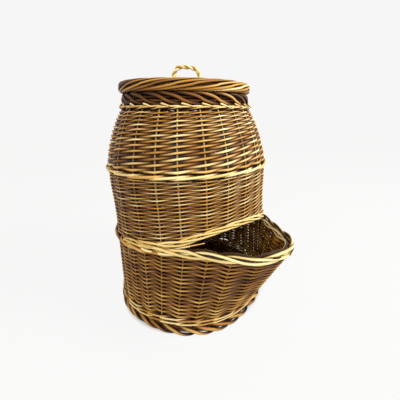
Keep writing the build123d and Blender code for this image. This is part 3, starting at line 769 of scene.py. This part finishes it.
def willow(name, dark, middle, pale):
    """Peeled willow: a tone for each rod, streaks along it, bud scars, painted shade in crevices and a satin
    face.
    """
    material = bpy.data.materials.new(name)
    material.use_nodes = True
    tree = material.node_tree
    nodes = tree.nodes
    links = tree.links
    shader = nodes["Principled BSDF"]

    def attribute(label):
        node = nodes.new("ShaderNodeAttribute")
        node.attribute_name = label
        return node

    def stretched(vector, stretch):
        node = nodes.new("ShaderNodeMapping")
        set_inputs(node, Scale=stretch)
        links.new(vector, node.inputs["Vector"])
        return node.outputs["Vector"]

    def noise(vector, detail, stretch):
        place = stretched(vector, stretch)
        node = nodes.new("ShaderNodeTexNoise")
        set_inputs(node, Scale=1.0, Detail=detail)
        links.new(place, node.inputs["Vector"])
        return node.outputs["Fac"]

    def math(operation, a, b):
        return math_node(tree, operation, a, b)

    def ramp(value, *stops):
        node = nodes.new("ShaderNodeValToRGB")
        elements = node.color_ramp.elements
        while len(elements) < len(stops):
            elements.new(0.5)
        for element, (place, colour) in zip(elements, stops):
            element.position = place
            element.color = (*colour, 1)
        links.new(value, node.inputs["Fac"])
        return node.outputs["Color"]

    def mix(blend, share, a, b):
        node = nodes.new("ShaderNodeMix")
        node.data_type = "RGBA"
        node.blend_type = blend
        for key, value in ((0, share), (6, a), (7, b)):
            if isinstance(value, float):
                node.inputs[key].default_value = value
            else:
                links.new(value, node.inputs[key])
        return node.outputs[2]

    def varied(tone, pattern, strength):
        return math("ADD", tone, math("MULTIPLY", math("SUBTRACT", pattern, 0.5), strength))

    grain = attribute("grain").outputs["Vector"]
    tone = attribute("tone").outputs["Fac"]
    shade = attribute("shade").outputs["Fac"]
    patches = noise(grain, 2.0, (14, 0.7, 0.7))
    streaks = noise(grain, 4.0, (30, 9, 9))
    fibres = noise(grain, 3.0, (90, 26, 26))
    tone = varied(tone, patches, strength=0.75)
    tone = varied(tone, streaks, strength=0.35)
    colour = ramp(tone, (0.0, dark), (0.48, middle), (1.0, pale))

    scars = nodes.new("ShaderNodeTexVoronoi")
    scars.feature = "F1"
    links.new(stretched(grain, (26, 1.6, 1.6)), scars.inputs["Vector"])
    set_inputs(scars, Scale=1.0)
    scar = ramp(scars.outputs["Distance"], (0.05, (1, 1, 1)), (0.13, (0, 0, 0)))
    dark_scar = nodes.new("ShaderNodeRGB")
    dark_scar.outputs[0].default_value = (0.11, 0.05, 0.015, 1)
    colour = mix("MIX", math("MULTIPLY", scar, SCAR_STRENGTH), colour, dark_scar.outputs[0])

    # Painted shade: the shade attribute darkens the colour in crevices, at rod edges and on undersides
    colour = mix("MULTIPLY", 1.0, colour, ramp(shade, *PAINTED_SHADE_STOPS))
    links.new(colour, shader.inputs["Base Color"])
    set_inputs(shader, Specular_IOR_Level=0.22)
    gloss = math("ADD", math("MULTIPLY", streaks, STREAK_GLOSS), SATIN - STREAK_GLOSS / 2)
    links.new(gloss, shader.inputs["Roughness"])
    bump = nodes.new("ShaderNodeBump")
    set_inputs(bump, Strength=0.35, Distance=0.0005)
    relief = math("ADD", math("MULTIPLY", fibres, FIBRE_HEIGHT), math("MULTIPLY", scar, SCAR_HEIGHT))
    links.new(relief, bump.inputs["Height"])
    links.new(bump.outputs["Normal"], shader.inputs["Normal"])
    return material


DARK = (0.16, 0.052, 0.006)
HONEY = (0.58, 0.31, 0.06)
STRAW = (0.93, 0.76, 0.37)
weave_willow = willow("willow_weave", DARK, HONEY, STRAW)
lower_willow = willow("willow_weave_lower", (0.12, 0.040, 0.005), (0.46, 0.23, 0.04), (0.86, 0.58, 0.17))
stake_willow = willow("willow_stake", DARK, (0.62, 0.34, 0.08), STRAW)
# Borders and packing are of darker rods; at the neck the darkness is also painted shade under the lid
border_willow = willow("willow_border", (0.08, 0.027, 0.004), (0.30, 0.125, 0.02), (0.68, 0.43, 0.12))
pale_willow = willow("willow_pale", (0.40, 0.19, 0.035), (0.80, 0.54, 0.16), (1.0, 0.88, 0.46))


# Foot

FOOT_ROD_D = 6.8
FOOT_BULGE = 7.0
FOOT_GAP = 0.3
FOOT_CORE_DEPTH = 27.0
foot_outer_r = high("foot_border", "x")
foot_border = Rods()
rolled_border(
    foot_border, foot_outer_r - FOOT_ROD_D / 2 - FOOT_BULGE, FOOT_TOP / 2, FOOT_BULGE,
    half_h=FOOT_TOP / 2 - FOOT_ROD_D / 2, count=LOWER_STAKES, diameter=FOOT_ROD_D, span=2.4, start=125,
    end=-125, tone=0.5, spread=0.2,
)
foot_border.piece("foot_border_rods", "willow_border", border_willow, "foot_border")
foot_core = Rods()
packed_rings(
    foot_core, -low("foot_core", "x") - FOOT_CORE_DEPTH, foot_outer_r - 2 * FOOT_ROD_D, FOOT_GAP,
    FOOT_TOP - FOOT_GAP, diameter=6.0, tone=0.35,
)
foot_core.piece("foot_packing_rods", "willow_border", border_willow, "foot_core")


# Base: spread sticks and the disc woven round them

BASE_TURN = LOWER_FIRST - LOWER_STEP / 2
slath(
    "basket",
    (("base_pierced_sticks", "base_sticks", 4.2), ("base_crossing_sticks", "base_through_sticks", 3.4)),
    count=4, pitch=10.4, half=30, reach=168, z=BASE_MID, turn=BASE_TURN,
)
base_weave = Rods()
disc_weave(
    base_weave, 25, BASE_R, BASE_MID, spokes=16, first=BASE_TURN + LOWER_STEP, butt=3.6, tip=4.6, stick_r=2.9,
    tone=0.42,
)
base_weave.piece("base_disc_rods", "willow_weave", lower_willow, "base_weave")


# Stakes

STAKE_STEP = 9
STAKE_BEND_LEAN = 0.3
STAKE_SINK = 1.0
STAKE_TAPER = 0.86
STAKE_TONE = 0.62
OFF_AXIS = 1e-3


def stake_path(wall, angle, start, end, tail=0):
    """An upright along a wall, with a tail that runs in along the base where tail is more than 0."""
    height = np.linspace(start, end, max(8, round((end - start) / STAKE_STEP)))
    turn = np.full_like(height, angle)
    path = wall(turn, height)
    out = outward(wall, turn, height)
    if tail:
        sweep = np.radians(np.linspace(-90, 0, 7))[:-1]
        start_r = np.hypot(path[0, 0], path[0, 1])
        bend_r = start_r - STAKE_BEND_R + STAKE_BEND_R * np.cos(sweep)
        radius = np.concatenate([[BASE_R - tail], bend_r])
        z = np.concatenate([[BASE_MID], BASE_MID + STAKE_BEND_R + STAKE_BEND_R * np.sin(sweep)])
        path = np.vstack([joined(*on_circle(angle, radius), z), path])
        down = np.repeat([[0, 0, -1.0]], len(radius), 0)
        out = np.vstack([down + OFF_AXIS + out[:1] * STAKE_BEND_LEAN, out])
    return path, out


def stakes(name, ring, numbers, wall, start, end, node, tail=0, seat=0.0):
    """A set of uprights with the given numbers. seat is how far they start above the arch, if they do."""
    rods = Rods()
    for number in numbers:
        angle = float(stake_angle(np.array([float(number)]), ring)[0])
        bottom = max(start, float(arch_height(angle)) + seat) if seat else start
        path, out = stake_path(wall, angle, bottom, end, tail)
        taper = np.linspace(STAKE_D / 2, STAKE_D / 2 * STAKE_TAPER, len(path))
        rods.add(path, out, taper, new_tone(STAKE_TONE, EVEN_SPREAD), depth=0.06)
    rods.piece(name, "willow_stake", stake_willow, node)


half_way = LOWER_STAKES // 2
half_hood = HOOD_STAKES // 2
scoop_numbers = [k for k in range(-half_way, half_way) if abs(k * LOWER_STEP + LOWER_FIRST) < HULL_ANGLE]
back_numbers = [k for k in range(-half_way, half_way) if k not in scoop_numbers]
hood_numbers = range(-half_hood, half_hood)
upper_back_numbers = range(half_hood, UPPER_STAKES - half_hood)
bend_top = BASE_MID + STAKE_BEND_R
stakes("lower_uprights", LOWER_RING, back_numbers, lower_wall, bend_top, WAIST_TOP - STAKE_SINK,
       "lower_stakes", tail=STAKE_TAIL)
stakes("scoop_uprights", LOWER_RING, scoop_numbers, lower_wall, bend_top, LOWER_TOP, "scoop_stakes",
       tail=STAKE_TAIL)
stakes("upper_uprights", UPPER_RING, upper_back_numbers, drum_wall, LOWER_TOP - STAKE_TUCK, NECK_HEIGHT,
       "upper_stakes")
stakes("hood_uprights", UPPER_RING, hood_numbers, drum_wall, WAIST_TOP, NECK_HEIGHT, "hood_stakes",
       seat=HOOD_STAKE_SEAT)


# Lower walls

def course_wave(*waves):
    """How far courses wander up and down: a sum of sines round the basket that shift with the height.

    Each has its size, its number round the basket, its phase and the height over which its phase grows by 1.
    """
    def wave(angle, height):
        turn = np.radians(angle)
        return sum(size * np.sin(count * turn + phase + height / rise) for size, count, phase, rise in waves)

    return wave


LOWER_WAVE = course_wave((1.6, 7, 0.6, 60), (1.1, 13, 0, 45), (0.7, 23, 0, inf))
MIDDLE_WAVE = course_wave((0.9, 5, 0, 50), (0.5, 11, 2, inf))
DOME_WAVE = course_wave((0.8, 4, 1, 70), (0.4, 9, 0, inf))

UPSETT_ROD_D = (UPSETT_TOP - FOOT_TOP) / 4
upsett = Rods()
wale(upsett, lower_wall, FOOT_TOP, UPSETT_ROD_D, rounds=2, ring=LOWER_RING, tone=0.62)
upsett.piece("upsett_wale_rods", "willow_wale", weave_willow, "upsett_wale", "upsett_wale_inner")

lower = Rods()
rand_rows(
    lower, lower_wall, UPSETT_TOP, LOWER_TOP, butt=4.9, tip=4.3, ring=LOWER_RING, tone=0.5, wave=LOWER_WAVE
)
lower.piece("lower_wall_rods", "willow_weave", lower_willow, "lower_weave")

WAIST_ROD_D = 7.8
WAIST_DROP = 4.0
WAIST_LAP = 0.4
hinge_number = (HULL_ANGLE - LOWER_FIRST) / LOWER_STEP
waist = Rods()
wale(
    waist, lower_wall, LOWER_TOP - WAIST_DROP, WAIST_ROD_D, rounds=1, ring=LOWER_RING, tone=0.52,
    span=(hinge_number - WAIST_LAP, LOWER_STAKES - hinge_number + WAIST_LAP), falls=True, rise=1.3,
)
waist.piece("waist_wale_rods", "willow_wale", weave_willow, "waist_wale", "waist_wale_inner")


# Scoop's rim

RIM_ROD_D = 6.8
RIM_MIDDLE = 6.3
RIM_SEAT = 0.4
RIM_END_START = 0.6
RIM_END_ANGLE = 7.0
RIM_END_LIFT = 0.6
RIM_END_STEPS = (6.0, 12.0, 18.0, 24.0)
RIM_END_TAPER = (0.95, 0.85, 0.7, 0.5)


def rim_end(rods, side, lift, tone):
    """A rod that leaves the rim just before the tip and runs on straight, over the other side's."""
    angle = -side * np.linspace(HULL_ANGLE * RIM_END_START, RIM_END_ANGLE, 40)
    height = LOWER_TOP + lift + 0 * angle
    offset = STAKE_D / 2 + RIM_ROD_D / 2 + RIM_END_LIFT
    path = lower_wall(angle, height) + outward(lower_wall, angle, height) * offset
    heading = unit(path[-1] - path[-2])
    path = np.vstack([path, path[-1] + heading * np.array(RIM_END_STEPS)[:, None]])
    out = np.cross(heading, (0, 0, -side)) + 0 * path
    taper = RIM_ROD_D / 2 * np.concatenate([np.ones(len(angle)), RIM_END_TAPER])
    rods.add(path, out, taper, new_tone(tone, spread=0.1), depth=0.7)


rim = Rods()
rim_angle = np.linspace(-HULL_ANGLE - 3, HULL_ANGLE + 2, 220)
rim_offset = STAKE_D / 2 + RIM_ROD_D / 2 - RIM_SEAT
rim_level = LOWER_TOP + RIM_MIDDLE
rope(
    rim, lower_wall, rim_angle, rim_level, rim_offset, strands=3, diameter=RIM_ROD_D, pitch=44, tone=0.72,
    rise=0.85,
)
rope(
    rim, lower_wall, rim_angle, rim_level, -rim_offset, strands=2, diameter=RIM_ROD_D, pitch=31, tone=0.6,
    seed=3,
)
rim_end(rim, 1, lift=9.0, tone=0.85)
rim_end(rim, -1, lift=4.0, tone=0.75)
rim.piece("scoop_rim_rods", "willow_pale", pale_willow, "scoop_rim_outer", "scoop_rim_inner")


# Upper walls

ABOVE_ARCH = 3.0
BELOW_WAIST_TOP = 6.0
MIDDLE_SINK = 3.0


def middle_edge(angle):
    """Where the middle wall's courses start: just over the hood's arch, and inside the waist elsewhere."""
    return arch_height(angle) + np.where(over_mouth(angle), ABOVE_ARCH, -BELOW_WAIST_TOP)


middle = Rods()
french_rand(
    middle, drum_wall, WAIST_TOP - MIDDLE_SINK, MIDDLE_TOP, butt=4.2, tip=3.7, ring=UPPER_RING, tone=0.46,
    wave=MIDDLE_WAVE, above=middle_edge,
)
middle.piece("middle_wall_rods", "willow_weave", weave_willow, "middle_weave")

shoulder = Rods()
wale(shoulder, drum_wall, MIDDLE_TOP, (SHOULDER_TOP - MIDDLE_TOP) / 2, rounds=1, ring=UPPER_RING, tone=0.6)
shoulder.piece("shoulder_wale_rods", "willow_wale", weave_willow, "shoulder_wale", "shoulder_wale_inner")

NECK_WALE_H = 10.0
dome = Rods()
french_rand(
    dome, drum_wall, SHOULDER_TOP, NECK_HEIGHT - NECK_WALE_H, butt=6.6, tip=4.0, ring=UPPER_RING, tone=0.52,
    wave=DOME_WAVE,
)
dome.piece("dome_wall_rods", "willow_weave", weave_willow, "dome_weave")


# Neck wale and its tapering ends, which lie over it between the stakes

END_START = 0.15
END_SPAN = 0.55
END_FALL = 8.0
END_FALL_SPREAD = 1.5
END_OFFSET = 6.5
END_GAIN = 1.5
END_R = 2.7
END_TAPER = 0.75
neck_wale = Rods()
wale(neck_wale, drum_wall, NECK_HEIGHT - NECK_WALE_H, NECK_WALE_H / 2, rounds=1, ring=UPPER_RING, tone=0.5)
for k in range(UPPER_STAKES):
    share = np.linspace(0, 1, 9)
    angle = UPPER_FIRST + (k + END_START + END_SPAN * share) * UPPER_STEP
    height = NECK_HEIGHT + 1 - (END_FALL + RNG.uniform(-END_FALL_SPREAD, END_FALL_SPREAD)) * share
    offset = END_OFFSET + END_GAIN * share
    lay(neck_wale, drum_wall, angle, height, offset, END_R * (1 - END_TAPER * share**2), new_tone(0.85, 0.08))
neck_wale.piece("neck_wale_rods", "willow_wale", weave_willow, "neck_wale", "neck_wale_inner")


# Hood border: rods that follow the arch, cross each other and tuck into the waist

HOOD_ROD_D = 5.4
HOOD_REACH = 84.0
HOOD_TUCK = 9.0
HOOD_TUCK_START = 66.0
STRAY_OFFSET = 8.5
STRAY_LOSS = 3.0
STRAY_R = 2.4
STRAY_TAPER = 0.5
# Each stray end: where it begins and ends round the basket and above the waist, and its tone
STRAY_ENDS = ((-47, -33, 1.0, 9.0, 0.85), (-40, -24, 6.0, 13.0, 0.4), (-70, -58, 0, 6, 0.8))
hood = Rods()
hood_angle = np.linspace(-HOOD_REACH, HOOD_REACH, 260)
hood_level = smoothed(arch_height(hood_angle), reach=12) + HOOD_ROD_D
tucked = np.clip((np.abs(hood_angle) - HOOD_TUCK_START) / (HOOD_REACH - HOOD_TUCK_START), 0, 1)
hood_level -= HOOD_TUCK * tucked**2
hood_offset = STAKE_D / 2 + HOOD_ROD_D / 2
rope(
    hood, drum_wall, hood_angle, hood_level, hood_offset, strands=4, diameter=HOOD_ROD_D, pitch=61, tone=0.5,
    rise=1.0, seed=1,
)
rope(
    hood, drum_wall, hood_angle, hood_level, -hood_offset, strands=2, diameter=HOOD_ROD_D, pitch=53, tone=0.5,
    seed=2,
)
for begin, end, low_end, high_end, tone in STRAY_ENDS:
    share = np.linspace(0, 1, 12)
    angle = begin + (end - begin) * share
    height = WAIST_TOP + low_end + (high_end - low_end) * share
    offset = STRAY_OFFSET - STRAY_LOSS * (1 - share)
    lay(hood, drum_wall, angle, height, offset, STRAY_R * (1 - STRAY_TAPER * share), tone)
hood.piece("hood_border_rods", "willow_pale", pale_willow, "hood_border")


# Neck border: its dark tone is partly darker rods and partly painted shade under the lid's overhang

NECK_ROD_D = 7.6
NECK_BULGE = 6.5
neck_centre_r = high("neck_border", "x") - NECK_ROD_D / 2 - NECK_BULGE
neck_border = Rods()
rolled_border(
    neck_border, neck_centre_r, (NECK_BOTTOM + NECK_TOP) / 2, NECK_BULGE,
    half_h=(NECK_TOP - NECK_BOTTOM - NECK_ROD_D) / 2, count=UPPER_STAKES, diameter=NECK_ROD_D, span=2.7,
    start=125, end=-80, tone=0.12,
)
neck_border.piece("neck_border_rods", "willow_border", border_willow, "neck_border")
neck_core = Rods()
packed_rings(neck_core, NECK_INNER_R, neck_centre_r, NECK_BOTTOM + 1, NECK_TOP - 1, diameter=6.2, tone=0.3)
neck_core.piece("neck_packing_rods", "willow_border", border_willow, "neck_core")


# Lid

LID_ROD_D = 5.4
LID_BULGE = 6.0
LID_BORDER_RISE = 1.5
LID_CORE_LAP = 2.0
LID_MID = (LID_WEAVE_BOTTOM + LID_WEAVE_TOP) / 2
LID_CROSS_TURN = HANDLE_TURN + 45
lid_centre_r = high("lid_border", "x") - LID_ROD_D / 2 - LID_BULGE
lid_half_h = (LID_TOP - LID_BOTTOM - LID_ROD_D) / 2 + LID_BORDER_RISE
lid_border = Rods()
rolled_border(
    lid_border, lid_centre_r, (LID_BOTTOM + LID_TOP) / 2 + LID_BORDER_RISE, LID_BULGE, lid_half_h,
    count=24, diameter=LID_ROD_D, span=6.8, start=-125, end=125, tone=0.3, spread=0.15,
)
lid_border.piece("lid_border_rods", "willow_border", weave_willow, "lid_border", body="lid")
lid_core = Rods()
packed_rings(
    lid_core, LID_CORE_R - LID_CORE_LAP, lid_centre_r + LID_CORE_LAP, LID_BOTTOM + 1, LID_TOP - 0.5,
    diameter=5.6, tone=0.4,
)
lid_core.piece("lid_packing_rods", "willow_border", border_willow, "lid_core", body="lid")

slath(
    "lid",
    (("lid_pierced_sticks", "lid_sticks", 3.8), ("lid_crossing_sticks", "lid_through_sticks", 3.0)),
    count=3, pitch=9.4, half=26, reach=LID_CORE_R + 5, z=LID_MID, turn=LID_CROSS_TURN,
)
lid_weave = Rods()
disc_weave(
    lid_weave, 18, LID_CORE_R, LID_MID, spokes=12, first=LID_CROSS_TURN + 90, butt=3.4, tip=4.2, stick_r=2.6,
    tone=0.5,
)
lid_weave.piece("lid_disc_rods", "willow_weave", weave_willow, "lid_weave", body="lid")


# Handle: two rods twisted round each other, with their tails under the lid

HANDLE_TURNS = 4.5
HANDLE_LEFT = -38
HANDLE_RIGHT = 35
STRAND_SHARE = 1.02
handle_line = curve_through(
    [(HANDLE_LEFT, LID_WEAVE_BOTTOM), (HANDLE_LEFT, LID_WEAVE_TOP + 4), (-31, LID_WEAVE_TOP + 24),
     (-21, HANDLE_TOP - 10), (-8, HANDLE_TOP - 5.6), (10, HANDLE_TOP - 6.5), (23, HANDLE_TOP - 10.5),
     (30, HANDLE_TOP - 20), (33.5, LID_WEAVE_TOP + 16), (HANDLE_RIGHT, LID_WEAVE_TOP + 2),
     (HANDLE_RIGHT, LID_WEAVE_BOTTOM)], 12
)
handle_cos = cos(radians(HANDLE_TURN))
handle_sin = sin(radians(HANDLE_TURN))
centre_line = joined(handle_line[:, 0] * handle_cos, handle_line[:, 0] * handle_sin, handle_line[:, 1])
tangent = unit(np.gradient(centre_line, axis=0))
across = np.broadcast_to(np.array([-handle_sin, handle_cos, 0.0]), centre_line.shape)
inwards = np.cross(tangent, across)
run = np.concatenate([[0], np.cumsum(np.linalg.norm(np.diff(centre_line, axis=0), axis=1))])
strand_r = HANDLE_D / 4 * STRAND_SHARE
handle = Rods()
for strand in (0, pi):
    turn = 2 * pi * HANDLE_TURNS * run / run[-1] + strand
    lean = across * np.cos(turn)[:, None] + inwards * np.sin(turn)[:, None]
    # Most of the painted shade is lifted from the handle's strands
    handle.add(centre_line + lean * strand_r, lean, strand_r, new_tone(0.6, 0.08), depth=0.9, shade_lift=0.62)
handle.piece("handle_twist", "willow_pale", pale_willow, "handle_loop", body="lid")

TAIL_TURN = 35
TAIL_DROP = 2.8
tails = Rods()
for foot, outwards in ((HANDLE_LEFT, 180), (HANDLE_RIGHT, 0)):
    for spread in (-TAIL_TURN, TAIL_TURN):
        turn = radians(outwards + spread)
        reach = np.linspace(3, 35, 9)
        x = foot + reach * cos(turn)
        y = reach * sin(turn)
        z = LID_WEAVE_BOTTOM - TAIL_DROP
        path = joined(x * handle_cos - y * handle_sin, x * handle_sin + y * handle_cos, z)
        out = joined(0, 0, -np.ones(len(path)))
        tails.add(path, out, np.linspace(2.6, 2.0, len(path)), new_tone(0.55))
tails.piece("handle_tail_rods", "willow_pale", pale_willow, "handle_tails", body="lid")


# Floor, light and camera

WHITE = 0.922
FLOOR_GREY = 0.6
SHADOW_SHARE = 0.08
LIT_FLOOR = 0.35
LAMP_AIM = (0, 0, 0.28)


def area_light(name, place, size, power):
    """A square soft lamp that faces the middle of the basket."""
    data = bpy.data.lights.new(name, "AREA")
    data.shape = "SQUARE"
    data.size = size
    data.energy = power
    data.color = (1, 0.98, 0.94)
    lamp = bpy.data.objects.new(name, data)
    bpy.context.scene.collection.objects.link(lamp)
    lamp.location = place
    aim = Vector(LAMP_AIM) - Vector(place)
    lamp.rotation_euler = aim.to_track_quat("-Z", "Y").to_euler()


def seen_directly(tree):
    """A socket that is 1 on the camera's own rays and on mirrored and refracted ones, and 0 on the rest."""
    light_path = tree.nodes.new("ShaderNodeLightPath")
    total = light_path.outputs["Is Camera Ray"]
    for label in ("Is Glossy Ray", "Is Transmission Ray"):
        total = math_node(tree, "MAXIMUM", total, light_path.outputs[label])
    return total


def blended(tree, share, first, second, output):
    """Two shaders, mixed by a share of the second, as a tree's output."""
    blend = tree.nodes.new("ShaderNodeMixShader")
    tree.links.new(share, blend.inputs[0])
    tree.links.new(first, blend.inputs[1])
    tree.links.new(second, blend.inputs[2])
    tree.links.new(blend.outputs[0], tree.nodes[output].inputs["Surface"])


def paper_floor(name):
    """A white paper floor: it keeps a trace of the object's shadow, and lights the object as grey paper does.

    It doesn't glow under the foot, so that no white shows through the weave from below.
    """
    material = bpy.data.materials.new(name)
    material.use_nodes = True
    tree = material.node_tree
    shader = tree.nodes["Principled BSDF"]
    set_inputs(shader, Base_Color=(*[FLOOR_GREY] * 3, 1), Roughness=0.95, Specular_IOR_Level=0.0)
    glow = tree.nodes.new("ShaderNodeEmission")
    level = (WHITE - SHADOW_SHARE * LIT_FLOOR) / (1 - SHADOW_SHARE)
    set_inputs(glow, Color=(level, level, level, 1))
    place = tree.nodes.new("ShaderNodeNewGeometry")
    distance = tree.nodes.new("ShaderNodeVectorMath")
    distance.operation = "DISTANCE"
    tree.links.new(place.outputs["Position"], distance.inputs[0])
    middle_x, middle_y = on_circle(FOOT_ANGLE, FOOT_SWELL / 2)
    distance.inputs[1].default_value = (middle_x * MM, middle_y * MM, 0)
    beyond_foot = tree.nodes.new("ShaderNodeMapRange")
    near = (DRUM_R - 5) * MM
    far = (DRUM_R + 9) * MM
    set_inputs(beyond_foot, From_Min=near, From_Max=far, To_Max=1 - SHADOW_SHARE)
    tree.links.new(distance.outputs["Value"], beyond_foot.inputs["Value"])
    share = math_node(tree, "MULTIPLY", seen_directly(tree), beyond_foot.outputs["Result"])
    blended(tree, share, shader.outputs[0], glow.outputs[0], "Material Output")
    return material


def studio_world():
    """Soft light from all round, and a white backdrop where the camera sees it."""
    world = bpy.data.worlds.new("studio")
    world.use_nodes = True
    tree = world.node_tree
    light = tree.nodes["Background"]
    set_inputs(light, Color=(0.54, 0.50, 0.44, 1))
    backdrop = tree.nodes.new("ShaderNodeBackground")
    set_inputs(backdrop, Color=(WHITE, WHITE, WHITE, 1))
    blended(tree, seen_directly(tree), light.outputs[0], backdrop.outputs[0], "World Output")
    bpy.context.scene.world = world


bpy.ops.mesh.primitive_plane_add(size=12, location=(0, 0, 0))
floor = bpy.context.object
floor.name = "floor"
floor.data.materials.append(paper_floor("floor_paper"))

studio_world()
area_light("key", (1.1, -1.6, 1.7), size=0.6, power=56)
area_light("fill", (-1.6, -1.5, 1.3), size=1.0, power=27)

CAMERA_AZIMUTH = -31.0
CAMERA_D = 677.6
CAMERA_H = 467.0
CAMERA_YAW = 0.1721
CAMERA_PITCH = 0.2453
FOCAL_PX = 265.03
CENTRE_PX = (235.15, 177.17)
IMAGE_PX = 400
SENSOR_W = 36
camera_data = bpy.data.cameras.new("camera")
camera_data.sensor_width = SENSOR_W
camera_data.lens = FOCAL_PX / IMAGE_PX * SENSOR_W
camera_data.shift_x = (IMAGE_PX / 2 - CENTRE_PX[0]) / IMAGE_PX
camera_data.shift_y = (CENTRE_PX[1] - IMAGE_PX / 2) / IMAGE_PX
camera = bpy.data.objects.new("camera", camera_data)
bpy.context.scene.collection.objects.link(camera)
stand = radians(CAMERA_AZIMUTH)
heading = stand - CAMERA_YAW
forward = Vector((-sin(heading) * cos(CAMERA_PITCH), cos(heading) * cos(CAMERA_PITCH), -sin(CAMERA_PITCH)))
right = Vector((cos(heading), sin(heading), 0))
upward = right.cross(forward)
rotation = Matrix((right, upward, -forward)).transposed().to_4x4()
place = Vector((CAMERA_D * sin(stand), -CAMERA_D * cos(stand), CAMERA_H)) * MM
camera.matrix_world = Matrix.Translation(place) @ rotation
bpy.context.scene.camera = camera
bpy.context.scene.view_settings.view_transform = "Standard"
